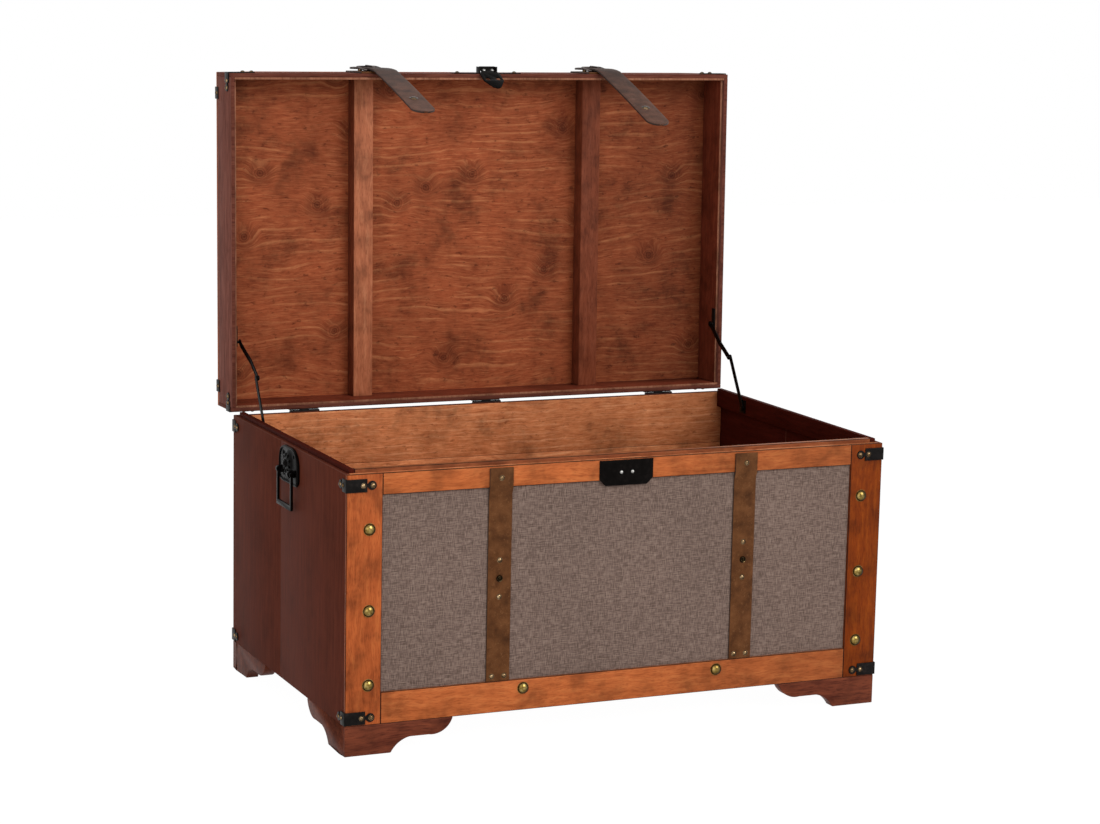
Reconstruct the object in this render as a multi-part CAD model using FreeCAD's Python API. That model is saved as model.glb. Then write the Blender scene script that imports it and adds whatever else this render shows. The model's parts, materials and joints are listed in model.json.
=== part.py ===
"""Lidded storage trunk on four bracket feet, with its lid open.

Millimetres and degrees. The front faces -Y, +X is to the right, +Z is up.
The origin lies on the floor under the centre of the carcass.
Lid pieces are built in the closed place, then turned open about the hinge axis.
"""
import FreeCAD, Part
import math
import os

V = FreeCAD.Vector

# Carcass
width = 800.0
depth = 490.0
ledge_height = 378.0
foot_height = 41.0
side_thickness = 6.2
back_thickness = 10.0
core_thickness = 6.0
frame_thickness = 4.0
linen_thickness = 0.7
stile_width = 50.0
top_rail_height = 29.0
bottom_rail_height = 43.0
side_seam_y = 24.0
back_seam_height = 298.0
front_lip_thickness = 9.0
side_lip_thickness = 8.0
lip_rise = 5.3
lip_height = 28.0
cleat_width = 20.0
cleat_height = 20.0
floor_thickness = 6.0

# Bracket feet, measured along the face from the corner
foot_thickness = 18.0
foot_sole = 65.0
foot_scoop_middle = (75.0, 12.0)
foot_scoop_end = 92.0
foot_bridge_height = 19.7
foot_bridge_end = 119.0
foot_length = 153.0
foot_block_size = 34.0
foot_block_gap = 3.0

# Lid
lid_height = 73.0
open_angle = 91.0
rim_gap = 0.4
hinge_setback = 4.0
hinge_drop = 1.0
lid_wall_thickness = 5.6
lining_thickness = 3.4
lining_recess = 0.8
side_lining_recess = 6.0
lid_rail_width = 43.0
batten_x = 185.0
batten_width = 30.0
batten_depth = 26.0

# Butt hinges
hinge_places = (-290.0, 0.0, 290.0)
hinge_length = 45.0
leaf_thickness = 1.2
leaf_height = 27.0
knuckle_radius = 3.0
hinge_pin_radius = 1.5
knuckle_length = 15.0
knuckle_gap = 0.3
leaf_clearance = 0.44
running_fit = 0.05
hinge_screw_margin = 7.0
hinge_screw_reach = 20.0
hinge_middle_screw_reach = 12.0
hinge_screw_radius = 2.8
hinge_screw_height = 1.0

# Leather straps
strap_x = 183.0
strap_width = 34.0
strap_thickness = 2.5
strap_top_margin = 2.5
strap_slope = 9.0
back_tab_height = 38.0
back_tab_margin = 5.0
strap_rim_margin = 22.0
strap_front_margin = 6.0

# Buckle ends: a short root that swivels on a rivet, and the tongue that hangs from it
root_rise = 12.0
root_rivet_rise = 59.6
root_top_rise = 73.6
root_gap = 2.8
root_pin_radius = 2.0
root_shoulder_radius = 3.3
root_head_radius = 4.2
root_head_height = 1.6
root_play = 0.3
tongue_gap = 0.3
tongue_length = 230.0
tongue_point = 17.0
buckle_wire = 2.5
buckle_width = 41.0
buckle_height = 25.0
buckle_rise = 23.6
buckle_tilt = 15.0
buckle_corner = 4.0

# How each buckle end lies with the lid open: its swivel, then its tongue's skew back and its droop
hang_angles = {"left": (20.5, 25.5, 13.6), "right": (16.5, 20.2, 18.7)}

# Brackets, nails, rivets and studs
plate_thickness = 1.5
bracket_height = 17.5
bracket_drop = 6.5
bracket_foot_rise = 1.5
lid_bracket_rise = 9.0
front_leg_reach = 28.0
front_lobe_place = 35.0
front_leg_rivets = (22.7, 36.0)
side_leg_reach = 14.0
side_lobe_place = 20.5
side_leg_rivets = (11.0, 21.0)
lobe_radius = 6.0
neck_height = 5.0
bracket_rivet_radius = 3.6
rivet_radius = 3.8
rivet_height = 2.2
nail_radius = 8.5
nail_height = 6.0
stile_nail_inset = 32.0
stile_nail_heights = (304.0, 195.0, 95.0)
rail_nail_x = 146.0
rail_nail_drop = 12.5
lid_nail_ys = (-118.0, 0.0, 118.0)
lid_rail_nail_x = 73.0
edge_strap_inset = 30.0
edge_strap_drop = 12.0
edge_strap_reach = 35.0
edge_strap_rivets = (11.4, 24.7)
snap_radius = 4.6
snap_height = 2.6
snap_cap_height = 1.6
rail_rivet_drop = 16.0
linen_rivet_heights = (250.0, 200.0)
snap_stud_height = 225.0
strap_end_rivet_rise = 7.0
strap_end_rivet_x = 9.0

# Lock plate and hasp
lock_width = 80.0
lock_height = 35.0
lock_chamfer = 9.0
lock_margin = 1.5
stud_spacing = 16.5
stud_drop = 18.0
stud_radius = 2.8
stud_height = 3.4
stud_clearance = 0.9
hasp_base_width = 104.0
hasp_base_height = 24.0
hasp_base_rise = 2.6
hasp_ear_gap = 25.2
hasp_ear_thickness = 2.0
hasp_ear_height = 12.0
hasp_ear_reach = 10.5
hasp_pin_radius = 1.5
hasp_pin_rise = 10.6
hasp_pin_out = 8.0
hasp_barrel_radius = 3.0
hasp_width = 24.0
hasp_shoulder_width = 32.0
hasp_length = 54.0
hasp_neck_length = 9.0
hasp_shoulder_place = 15.0
hasp_taper_place = 34.0
hasp_point_place = 50.0
hasp_point_width = 13.5
hasp_droop = 32.0
hasp_rivet_x = 46.0

# Side handles
handle_y = -16.0
handle_width = 80.0
handle_height = 51.0
handle_top_margin = 2.0
handle_top_radius = 26.0
handle_bottom_radius = 12.0
handle_plate_thickness = 3.0
handle_boss_radius = 19.0
handle_boss_height = 5.0
handle_boss_drop = 22.5
handle_screw_spacing = 43.5
handle_screw_drop = 11.0
handle_screw_radius = 3.2
handle_screw_height = 1.4
lug_thickness = 6.0
lug_inner_y = 20.0
lug_radius = 5.0
bail_pivot_rise = 17.0
bail_out = 8.0
bail_bar_thickness = 3.5
bail_bar_width = 4.5
bail_grip_height = 7.0
bail_eye_radius = 3.4
bail_gap = 0.3
bail_length = 50.0
bail_pin_radius = 2.0

# Lid stays
stay_base_from_hinge = 103.3
stay_base_drop = 12.0
stay_lid_from_hinge = 105.0
stay_lid_rise = 12.0
lower_arm_length = 85.8
upper_arm_length = 84.9
arm_width = 8.0
arm_thickness = 1.5
arm_gap = 0.3
stay_plate_thickness = 1.2
stay_pin_radius = 2.0
stay_head_radius = 3.3
stay_head_height = 0.8
stay_stub_length = 3.8
crank_start = 38.0
crank_end = 76.0
stay_bracket_length = 30.0
stay_bracket_height = 10.0
stay_bracket_front = 24.0
stay_base_width = 18.0
stay_base_height = 20.0
stay_base_front = 7.0
stay_base_margin = 4.8

# Sizes that follow
half_w = width / 2
half_d = depth / 2
inner_x = half_w - side_thickness
frame_back = -half_d + frame_thickness
front_inner = frame_back + core_thickness
back_inner = half_d - back_thickness
lip_top = ledge_height + lip_rise
lip_inner_x = inner_x - side_lip_thickness
hinge_y = half_d + hinge_setback
hinge_z = ledge_height - hinge_drop
rim_z = ledge_height + rim_gap
lid_top = ledge_height + lid_height
lid_core_top = lid_top - frame_thickness
lid_core_bottom = lid_core_top - core_thickness
lid_inner = lid_wall_thickness + lining_thickness
linen_front = frame_back - linen_thickness
strap_face = -half_d - strap_thickness
root_back = strap_face - root_gap
root_front = root_back - strap_thickness
root_end_z = rim_z + root_rise
root_rivet_z = rim_z + root_rivet_rise
root_top_z = rim_z + root_top_rise
hasp_pin_y = -half_d - hasp_pin_out
hasp_pin_z = rim_z + hasp_pin_rise
handle_top = ledge_height - handle_top_margin
handle_pivot_z = handle_top - handle_height + bail_pivot_rise
corner_signs = [(sx, sy) for sx in (-1, 1) for sy in (-1, 1)]
sides = (("left", -1), ("right", 1))
lean = math.cos(math.radians(45))


def box(x0, x1, y0, y1, z0, z1):
    low = V(min(x0, x1), min(y0, y1), min(z0, z1))
    return Part.makeBox(abs(x1 - x0), abs(y1 - y0), abs(z1 - z0), low)


def prism(points, axis, low, high):
    """A polygon extruded along X or Y; its points are (y, z) or (x, z)."""
    if axis == "x":
        corners, way = [V(low, a, b) for a, b in points], V(high - low, 0, 0)
    else:
        corners, way = [V(a, low, b) for a, b in points], V(0, high - low, 0)
    return Part.Face(Part.makePolygon(corners + corners[:1])).extrude(way)


def cylinder(axis, centre, radius, low, high):
    """A cylinder along X or Y; its centre is (y, z) or (x, z)."""
    if axis == "x":
        return Part.makeCylinder(radius, high - low, V(low, *centre), V(1, 0, 0))
    return Part.makeCylinder(radius, high - low, V(centre[0], low, centre[1]), V(0, 1, 0))


def dome(point, way, radius, height):
    """A spherical cap standing on a face at point, towards way."""
    ball = (radius ** 2 + height ** 2) / (2 * height)
    latitude = math.degrees(math.asin((ball - height) / ball))
    centre = V(*point) - V(*way) * (ball - height)
    return Part.makeSphere(ball, centre, V(*way), latitude, 90, 360)


def fuse(shapes):
    return shapes[0].fuse(shapes[1:]).removeSplitter()


def group(shapes):
    return Part.makeCompound(shapes)


def opened(shape):
    """A lid piece turned from its closed place to its open one."""
    turned = shape.copy()
    turned.rotate(V(0, hinge_y, hinge_z), V(1, 0, 0), -open_angle)
    return turned


def opened_point(y, z):
    angle = math.radians(open_angle)
    dy, dz = y - hinge_y, z - hinge_z
    return (hinge_y + dy * math.cos(angle) + dz * math.sin(angle),
            hinge_z - dy * math.sin(angle) + dz * math.cos(angle))


def band(path, thickness):
    """The outline of a strap lying along the (y, z) points of path, on the path's left side."""
    normals = []
    for (a0, b0), (a1, b1) in zip(path, path[1:]):
        length = math.hypot(a1 - a0, b1 - b0)
        normals.append(((b0 - b1) / length, (a1 - a0) / length))
    outer = []
    for i, (a, b) in enumerate(path):
        n0, n1 = normals[max(i - 1, 0)], normals[min(i, len(normals) - 1)]
        scale = thickness / (1 + n0[0] * n1[0] + n0[1] * n1[1])
        outer.append((a + (n0[0] + n1[0]) * scale, b + (n0[1] + n1[1]) * scale))
    return path + outer[::-1]


def front_wall():
    stile_edge = half_w - stile_width
    rail_top = foot_height + bottom_rail_height
    rail_low = ledge_height - top_rail_height
    parts = {
        "front_panel": box(-inner_x, inner_x, frame_back, front_inner, foot_height, ledge_height),
        "front_linen": box(-stile_edge, stile_edge, linen_front, frame_back, rail_top, rail_low),
        "front_top_rail": box(-stile_edge, stile_edge, -half_d, frame_back, rail_low, ledge_height),
        "front_bottom_rail": box(-stile_edge, stile_edge, -half_d, frame_back, foot_height, rail_top),
    }
    for name, side in sides:
        parts["front_stile_" + name] = box(side * half_w, side * stile_edge, -half_d, frame_back,
                                           foot_height, ledge_height)
    return parts


def side_and_back_walls():
    parts = {
        "back_board_lower": box(-inner_x, inner_x, back_inner, half_d, foot_height, back_seam_height),
        "back_board_upper": box(-inner_x, inner_x, back_inner, half_d, back_seam_height, ledge_height),
    }
    for name, side in sides:
        for part, y0, y1 in (("front", frame_back, side_seam_y), ("rear", side_seam_y, half_d)):
            parts[f"side_board_{name}_{part}"] = box(side * half_w, side * inner_x, y0, y1,
                                                     foot_height, ledge_height)
    return parts


def lips():
    low = lip_top - lip_height
    return {
        "lip_front": box(-lip_inner_x, lip_inner_x, front_inner, front_inner + front_lip_thickness,
                         low, lip_top),
        "lip_sides": group([box(s * inner_x, s * lip_inner_x, front_inner, back_inner, low, lip_top)
                            for s in (-1, 1)]),
    }


def base():
    cleat_top = foot_height + cleat_height
    front_edge, back_edge = front_inner + cleat_width, back_inner - cleat_width
    blocks = [box(-inner_x, inner_x, front_inner, front_edge, foot_height, cleat_top),
              box(-inner_x, inner_x, back_edge, back_inner, foot_height, cleat_top)]
    for s in (-1, 1):
        blocks.append(box(s * inner_x, s * (inner_x - cleat_width), front_edge, back_edge,
                          foot_height, cleat_top))
    for sx, sy in corner_signs:
        x0, y0 = sx * (half_w - foot_thickness), sy * (half_d - foot_thickness)
        blocks.append(box(x0, x0 - sx * foot_block_size, y0, y0 - sy * foot_block_size,
                          foot_block_gap, foot_height))
    floor = box(-inner_x, inner_x, front_inner, back_inner, cleat_top, cleat_top + floor_thickness)
    return {"floor_panel": floor, "base_blocks": group(blocks)}


def foot_board(corner, along, inward, start):
    """A bracket foot's board, lying along a face from start to its end."""
    def at(distance, height):
        return corner + along * distance + V(0, 0, height)
    end_middle = at(foot_bridge_end + (foot_length - foot_bridge_end) * lean,
                    foot_height - (foot_height - foot_bridge_height) * lean)
    edges = [
        Part.makeLine(at(start, foot_height), at(start, 0)),
        Part.makeLine(at(start, 0), at(foot_sole, 0)),
        Part.Arc(at(foot_sole, 0), at(*foot_scoop_middle), at(foot_scoop_end, foot_bridge_height)).toShape(),
        Part.makeLine(at(foot_scoop_end, foot_bridge_height), at(foot_bridge_end, foot_bridge_height)),
        Part.Arc(at(foot_bridge_end, foot_bridge_height), end_middle, at(foot_length, foot_height)).toShape(),
        Part.makeLine(at(foot_length, foot_height), at(start, foot_height)),
    ]
    return Part.Face(Part.Wire(edges)).extrude(inward * foot_thickness)


def feet():
    parts = {}
    for end, sy in (("front", -1), ("rear", 1)):
        for name, sx in sides:
            corner, across, back = V(sx * half_w, sy * half_d, 0), V(-sx, 0, 0), V(0, -sy, 0)
            parts[f"foot_{end}_{name}"] = group([foot_board(corner, across, back, 0),
                                                 foot_board(corner, back, across, foot_thickness)])
    return parts


def bracket_leg(corner, along, out, reach, lobe_place):
    """A bracket's flat leg with a lobed end, lying on a face from the corner."""
    def slab(start, end, height):
        points = [(start, -height / 2), (end, -height / 2), (end, height / 2), (start, height / 2)]
        corners = [corner + along * a + V(0, 0, b) for a, b in points]
        return Part.Face(Part.makePolygon(corners + corners[:1])).extrude(out * plate_thickness)
    lobe = Part.makeCylinder(lobe_radius, plate_thickness, corner + along * lobe_place, out)
    return [slab(0, reach, bracket_height), slab(reach / 2, lobe_place, neck_height), lobe]


def corner_bracket(sx, sy, height):
    """An angle bracket round an upright corner, with its rivets."""
    t = plate_thickness
    corner = V(sx * half_w, sy * half_d, height)
    across, back, left, front = V(-sx, 0, 0), V(0, -sy, 0), V(sx, 0, 0), V(0, sy, 0)
    legs = bracket_leg(corner, across, front, front_leg_reach, front_lobe_place)
    legs += bracket_leg(corner, back, left, side_leg_reach, side_lobe_place)
    legs.append(box(corner.x, corner.x + sx * t, corner.y, corner.y + sy * t,
                    height - bracket_height / 2, height + bracket_height / 2))
    rivets = [dome(corner + across * a + front * t, front, bracket_rivet_radius, rivet_height)
              for a in front_leg_rivets]
    rivets += [dome(corner + back * a + left * t, left, bracket_rivet_radius, rivet_height)
               for a in side_leg_rivets]
    return fuse(legs), rivets


def front_strap(x):
    rail_low = ledge_height - top_rail_height
    path = [(linen_front, foot_height + bottom_rail_height), (linen_front, rail_low - strap_slope),
            (-half_d, rail_low), (-half_d, ledge_height - strap_top_margin)]
    return prism(band(path, strap_thickness), "x", x - strap_width / 2, x + strap_width / 2)


def strap_studs(x):
    """The rivets and the snap stud of a front strap."""
    front, on_linen = V(0, -1, 0), linen_front - strap_thickness
    places = [(x, strap_face, ledge_height - rail_rivet_drop)]
    places += [(x, on_linen, z) for z in linen_rivet_heights]
    end_z = foot_height + bottom_rail_height + strap_end_rivet_rise
    places += [(x + a, on_linen, end_z) for a in (-strap_end_rivet_x, strap_end_rivet_x)]
    studs = [dome(place, front, rivet_radius, rivet_height) for place in places]
    return studs + [cylinder("y", (x, snap_stud_height), snap_radius, on_linen - snap_height, on_linen)]


def carcass_trim():
    brackets, rivets, nails = [], [], []
    top_z = ledge_height - bracket_drop - bracket_height / 2
    low_z = foot_height + bracket_foot_rise + bracket_height / 2
    for sx, sy in corner_signs:
        for z in (top_z, low_z):
            plate, heads = corner_bracket(sx, sy, z)
            brackets.append(plate)
            rivets += heads
    places = [(half_w - stile_nail_inset, z) for z in stile_nail_heights]
    places.append((rail_nail_x, foot_height + bottom_rail_height - rail_nail_drop))
    for s in (-1, 1):
        nails += [dome((s * x, -half_d, z), (0, -1, 0), nail_radius, nail_height) for x, z in places]
        rivets += strap_studs(s * strap_x)
    tab_top = ledge_height - back_tab_margin
    tabs = [box(s * strap_x - strap_width / 2, s * strap_x + strap_width / 2, half_d,
                half_d + strap_thickness, tab_top - back_tab_height, tab_top) for s in (-1, 1)]
    parts = {"strap_front_" + name: front_strap(s * strap_x) for name, s in sides}
    parts.update({"corner_brackets": group(brackets), "carcass_rivets": group(rivets),
                  "dome_nails_front": group(nails), "strap_tabs_back": group(tabs)})
    return parts


def lock():
    top, half = ledge_height - lock_margin, lock_width / 2
    low = top - lock_height
    outline = [(-half, top), (-half, low + lock_chamfer), (-half + lock_chamfer, low),
               (half - lock_chamfer, low), (half, low + lock_chamfer), (half, top)]
    face = -half_d - plate_thickness
    studs = [dome((s * stud_spacing / 2, face, ledge_height - stud_drop), (0, -1, 0),
                  stud_radius, stud_height) for s in (-1, 1)]
    return {"lock_plate": group([prism(outline, "y", face, -half_d)] + studs)}


def hinge_leaf(x, way):
    """A hinge leaf, closed: way -1 goes down the carcass and holds the pin, +1 goes up the lid."""
    half = hinge_length / 2
    reach = math.sqrt((knuckle_radius + leaf_clearance) ** 2 - (hinge_setback - leaf_thickness) ** 2)
    near = hinge_z + way * reach
    solids = [box(x - half, x + half, half_d, half_d + leaf_thickness, near, near + way * leaf_height)]
    spans = [(-half, -half + knuckle_length), (half - knuckle_length, half)]
    if way > 0:
        spans = [(-half + knuckle_length + knuckle_gap, half - knuckle_length - knuckle_gap)]
    for a, b in spans:
        solids.append(cylinder("x", (hinge_y, hinge_z), knuckle_radius, x + a, x + b))
        solids.append(box(x + a, x + b, half_d, hinge_y - hinge_setback / 2, hinge_z, near))
    if way < 0:
        return fuse(solids + [cylinder("x", (hinge_y, hinge_z), hinge_pin_radius, x - half, x + half)])
    bore = cylinder("x", (hinge_y, hinge_z), hinge_pin_radius + running_fit, x - half, x + half)
    return fuse(solids).cut(bore)


def hinge_screws(x, way):
    margin = hinge_length / 2 - hinge_screw_margin
    places = [(-margin, hinge_screw_reach), (0, hinge_middle_screw_reach), (margin, hinge_screw_reach)]
    return [dome((x + a, half_d + leaf_thickness, hinge_z + way * reach), (0, 1, 0),
                 hinge_screw_radius, hinge_screw_height) for a, reach in places]


def hinges():
    below, above = [], []
    for x in hinge_places:
        below += [hinge_leaf(x, -1)] + hinge_screws(x, -1)
        above += [opened(shape) for shape in [hinge_leaf(x, 1)] + hinge_screws(x, 1)]
    return {"hinge_leaves_carcass": group(below), "hinge_leaves_lid": group(above)}


def handle_outline(x):
    """The plate's outline as a wire in the YZ plane, with round upper and lower corners."""
    low, half = handle_top - handle_height, handle_width / 2
    up, down = handle_top_radius, handle_bottom_radius

    def arc(y, z, r, sy, sz):
        y += handle_y
        ends = [V(x, y + sy * r, z), V(x, y + sy * r * lean, z + sz * r * lean), V(x, y, z + sz * r)]
        return ends if sy * sz > 0 else ends[::-1]

    corners = [arc(half - up, handle_top - up, up, 1, 1), arc(-half + up, handle_top - up, up, -1, 1),
               arc(-half + down, low + down, down, -1, -1), arc(half - down, low + down, down, 1, -1)]
    edges = []
    for i, ends in enumerate(corners):
        edges.append(Part.Arc(*ends).toShape())
        edges.append(Part.makeLine(ends[2], corners[(i + 1) % 4][0]))
    return Part.Wire(edges)


def along_y(x, side, start, length, radius):
    """A rod on the bail's axis; start counts from the middle of the handle towards side."""
    return Part.makeCylinder(radius, length, V(x, handle_y + side * start, handle_pivot_z), V(0, side, 0))


def handle_plate(side):
    """The plate with its boss and two bored lugs, and its screws as solids of their own."""
    t, out = handle_plate_thickness, V(side, 0, 0)
    face, pivot_x = side * (half_w + t), side * (half_w + bail_out)
    solids = [Part.Face(handle_outline(side * half_w)).extrude(out * t),
              dome((face, handle_y, handle_top - handle_boss_drop), out, handle_boss_radius,
                   handle_boss_height)]
    for s in (-1, 1):
        solids.append(along_y(pivot_x, s, lug_inner_y, lug_thickness, lug_radius))
        solids.append(box(side * (half_w + t / 2), pivot_x, handle_y + s * lug_inner_y,
                          handle_y + s * (lug_inner_y + lug_thickness), handle_pivot_z - lug_radius,
                          handle_pivot_z + lug_radius))
    plate = fuse(solids)
    for s in (-1, 1):
        plate = plate.cut(along_y(pivot_x, s, lug_inner_y, lug_thickness, bail_pin_radius + running_fit))
    screws = [dome((face, handle_y + s * handle_screw_spacing / 2, handle_top - handle_screw_drop), out,
                   handle_screw_radius, handle_screw_height) for s in (-1, 1)]
    return group([plate] + screws)


def handle_bail(side):
    """The bail, hanging from its pins in the lugs."""
    x, t = side * (half_w + bail_out), bail_bar_thickness / 2
    leg = lug_inner_y + lug_thickness + bail_gap
    low = handle_pivot_z - bail_length
    solids = [box(x - t, x + t, handle_y - leg - bail_bar_width, handle_y + leg + bail_bar_width,
                  low, low + bail_grip_height)]
    for s in (-1, 1):
        solids.append(box(x - t, x + t, handle_y + s * leg, handle_y + s * (leg + bail_bar_width),
                          low, handle_pivot_z))
        solids.append(along_y(x, s, leg, bail_bar_width, bail_eye_radius))
        solids.append(along_y(x, s, lug_inner_y, leg - lug_inner_y + bail_bar_width / 2, bail_pin_radius))
    return fuse(solids)


def stay_points():
    """Base pivot, elbow and lid pivot of a stay in the side plane, with the lid open."""
    base = (hinge_y - stay_base_from_hinge, ledge_height - stay_base_drop)
    lid = opened_point(hinge_y - stay_lid_from_hinge, ledge_height + stay_lid_rise)
    dy, dz = lid[0] - base[0], lid[1] - base[1]
    reach = math.hypot(dy, dz)
    along = (lower_arm_length ** 2 - upper_arm_length ** 2 + reach ** 2) / (2 * reach)
    out = math.sqrt(lower_arm_length ** 2 - along ** 2)
    elbow = (base[0] + (dy * along - dz * out) / reach, base[1] + (dz * along + dy * out) / reach)
    return base, elbow, lid


def stay_levels():
    """The faces that a stay's layers lie on, as distances from the middle of the trunk."""
    lower_out = lip_inner_x - stay_plate_thickness - arm_gap
    lower_in = lower_out - arm_thickness
    upper_out = lower_in - arm_gap - stay_head_height - arm_gap
    lid_face = half_w - lid_inner - plate_thickness
    return lower_out, lower_in, upper_out, upper_out - arm_thickness, lid_face


def disc(side, point, radius, a, b):
    """A round along X between the distances a and b from the middle of the trunk."""
    return cylinder("x", point, radius, *sorted((side * a, side * b)))


def arm(side, start, end, a, b):
    """A straight flat arm with round ends on two pivots, between the distances a and b."""
    dy, dz = end[0] - start[0], end[1] - start[1]
    length = math.hypot(dy, dz)
    ny, nz = -dz / length * arm_width / 2, dy / length * arm_width / 2
    corners = [(start[0] + ny, start[1] + nz), (start[0] - ny, start[1] - nz),
               (end[0] - ny, end[1] - nz), (end[0] + ny, end[1] + nz)]
    low, high = sorted((side * a, side * b))
    ends = [disc(side, point, arm_width / 2, a, b) for point in (start, end)]
    return fuse([prism(corners, "x", low, high)] + ends)


def stay_base(side):
    """The plate on the side lip, with the pin and head that hold the lower arm."""
    pivot, front, top = stay_points()[0], stay_base_front, lip_top - stay_base_margin
    lower_out, lower_in = stay_levels()[:2]
    plate_face, head = lip_inner_x - stay_plate_thickness, lower_in - arm_gap
    plate = box(side * lip_inner_x, side * plate_face, pivot[0] - front,
                pivot[0] - front + stay_base_width, top - stay_base_height, top)
    return fuse([plate, disc(side, pivot, stay_pin_radius, plate_face, head),
                 disc(side, pivot, stay_head_radius, head, head - stay_head_height)])


def stay_lower_arm(side):
    """The arm bored for the base pin; it carries the elbow's collar, pin and head."""
    pivot, elbow, _ = stay_points()
    lower_out, lower_in, upper_out, upper_in, _ = stay_levels()
    bore = disc(side, pivot, stay_pin_radius + running_fit, lower_out, lower_in)
    collar, head = upper_out + arm_gap, upper_in - arm_gap
    return fuse([arm(side, pivot, elbow, lower_in, lower_out).cut(bore),
                 disc(side, elbow, stay_head_radius, lower_in, collar),
                 disc(side, elbow, stay_pin_radius, collar, head),
                 disc(side, elbow, stay_head_radius, head, head - stay_head_height)])


def stay_upper_arm(side):
    """The arm bored for the elbow pin, cranked outwards to its end on the lid."""
    _, elbow, lid = stay_points()
    _, _, upper_out, upper_in, lid_face = stay_levels()
    end_in = lid_face - stay_stub_length - arm_gap - arm_thickness
    way = ((lid[0] - elbow[0]) / upper_arm_length, (lid[1] - elbow[1]) / upper_arm_length)
    path = [(-arm_width, upper_in), (crank_start, upper_in), (crank_end, end_in),
            (upper_arm_length + arm_width, end_in)]
    across = V(0, -way[1], way[0]) * arm_width
    corners = [V(side * b, elbow[0] + way[0] * a, elbow[1] + way[1] * a) - across
               for a, b in path + [(a, b + arm_thickness) for a, b in path[::-1]]]
    cranked = Part.Face(Part.makePolygon(corners + corners[:1])).extrude(across * 2)
    cranked = cranked.common(arm(side, elbow, lid, upper_in - arm_gap, lid_face))
    cranked = cranked.cut(disc(side, elbow, stay_pin_radius + running_fit, upper_out, upper_in))
    return fuse([cranked, disc(side, lid, stay_head_radius, end_in, end_in - stay_head_height)])


def stay_bracket(side):
    """The lid's bracket with the stub that the upper arm ends at."""
    y, z = hinge_y - stay_lid_from_hinge, ledge_height + stay_lid_rise
    face = stay_levels()[4]
    plate = box(side * face, side * (face + plate_thickness), y - stay_bracket_front,
                y - stay_bracket_front + stay_bracket_length, z - stay_bracket_height / 2,
                z + stay_bracket_height / 2)
    return opened(fuse([plate, disc(side, (y, z), stay_pin_radius, face, face - stay_stub_length)]))


def stays():
    parts = {"stay_bases": group([stay_base(s) for _, s in sides]),
             "stay_lid_brackets": group([stay_bracket(s) for _, s in sides])}
    for name, side in sides:
        parts["stay_lower_arm_" + name] = stay_lower_arm(side)
        parts["stay_upper_arm_" + name] = stay_upper_arm(side)
    return parts


def lid_box():
    w, d = half_w, half_d
    t, inner = lid_wall_thickness, lid_inner
    high, low, side_low = lid_core_top, rim_z + lining_recess, rim_z + side_lining_recess
    rail, stile = lid_rail_width, stile_width
    linings = [box(-w + t, w - t, s * (d - t), s * (d - inner), low, lid_core_bottom) for s in (-1, 1)]
    linings += [box(s * (w - t), s * (w - inner), -d + inner, d - inner, side_low, lid_core_bottom)
                for s in (-1, 1)]
    battens = [box(s * batten_x - batten_width / 2, s * batten_x + batten_width / 2, -d + inner, d - inner,
                   lid_core_bottom - batten_depth, lid_core_bottom) for s in (-1, 1)]
    frame = [box(-w + stile, w - stile, s * d, s * (d - rail), high, lid_top) for s in (-1, 1)]
    frame += [box(s * w, s * (w - stile), -d, d, high, lid_top) for s in (-1, 1)]
    return {
        "lid_front_wall": box(-w, w, -d, -d + t, rim_z, high),
        "lid_back_wall": box(-w, w, d - t, d, rim_z, high),
        "lid_left_wall": box(-w, -w + t, -d + t, d - t, rim_z, high),
        "lid_right_wall": box(w - t, w, -d + t, d - t, rim_z, high),
        "lid_panel": box(-w + t, w - t, -d + t, d - t, lid_core_bottom, high),
        "lid_linen": box(-w + stile, w - stile, -d + rail, d - rail, high, high + linen_thickness),
        "lid_linings": group(linings),
        "lid_battens": group(battens),
        "lid_frame": group(frame),
    }


def lid_strap(x):
    """The strap that runs up the back wall, over the top and down the front wall."""
    linen_top = lid_core_top + linen_thickness
    rail = half_d - lid_rail_width
    path = [(-half_d, rim_z + strap_front_margin), (-half_d, lid_top), (-rail, lid_top),
            (-rail + strap_slope, linen_top), (rail - strap_slope, linen_top), (rail, lid_top),
            (half_d, lid_top), (half_d, rim_z + strap_rim_margin)]
    return prism(band(path, strap_thickness), "x", x - strap_width / 2, x + strap_width / 2)


def swivelled(shape, name, side):
    """A piece of a buckle end, closed, turned about its rivet to its place at rest."""
    turned = shape.copy()
    turned.rotate(V(side * strap_x, 0, root_rivet_z), V(0, 1, 0), -hang_angles[name][0])
    return opened(turned)


def leather(outline):
    """A closed outline of lines and arcs at the root's back, thickened to the front."""
    return Part.Face(Part.Wire(outline)).extrude(V(0, -strap_thickness, 0))


def strap_root(x):
    """A short strap, straight at its fold and round at its top, bored for its rivet."""
    half = strap_width / 2
    low_left, low_right = V(x - half, root_back, root_end_z), V(x + half, root_back, root_end_z)
    left, right = V(x - half, root_back, root_rivet_z), V(x + half, root_back, root_rivet_z)
    root = leather([Part.makeLine(low_left, low_right), Part.makeLine(low_right, right),
                    Part.Arc(right, V(x, root_back, root_top_z), left).toShape(),
                    Part.makeLine(left, low_left)])
    return root.cut(cylinder("y", (x, root_rivet_z), root_pin_radius + running_fit, root_front, root_back))


def root_rivet(x):
    """The lid's rivet: a shoulder behind the root, a pin through it and a head in front."""
    place, head = (x, root_rivet_z), root_front - root_play
    return opened(fuse([cylinder("y", place, root_shoulder_radius, root_back + root_play, strap_face),
                        cylinder("y", place, root_pin_radius, head, root_back + root_play),
                        dome((x, head, root_rivet_z), (0, -1, 0), root_head_radius, root_head_height)]))


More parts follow.
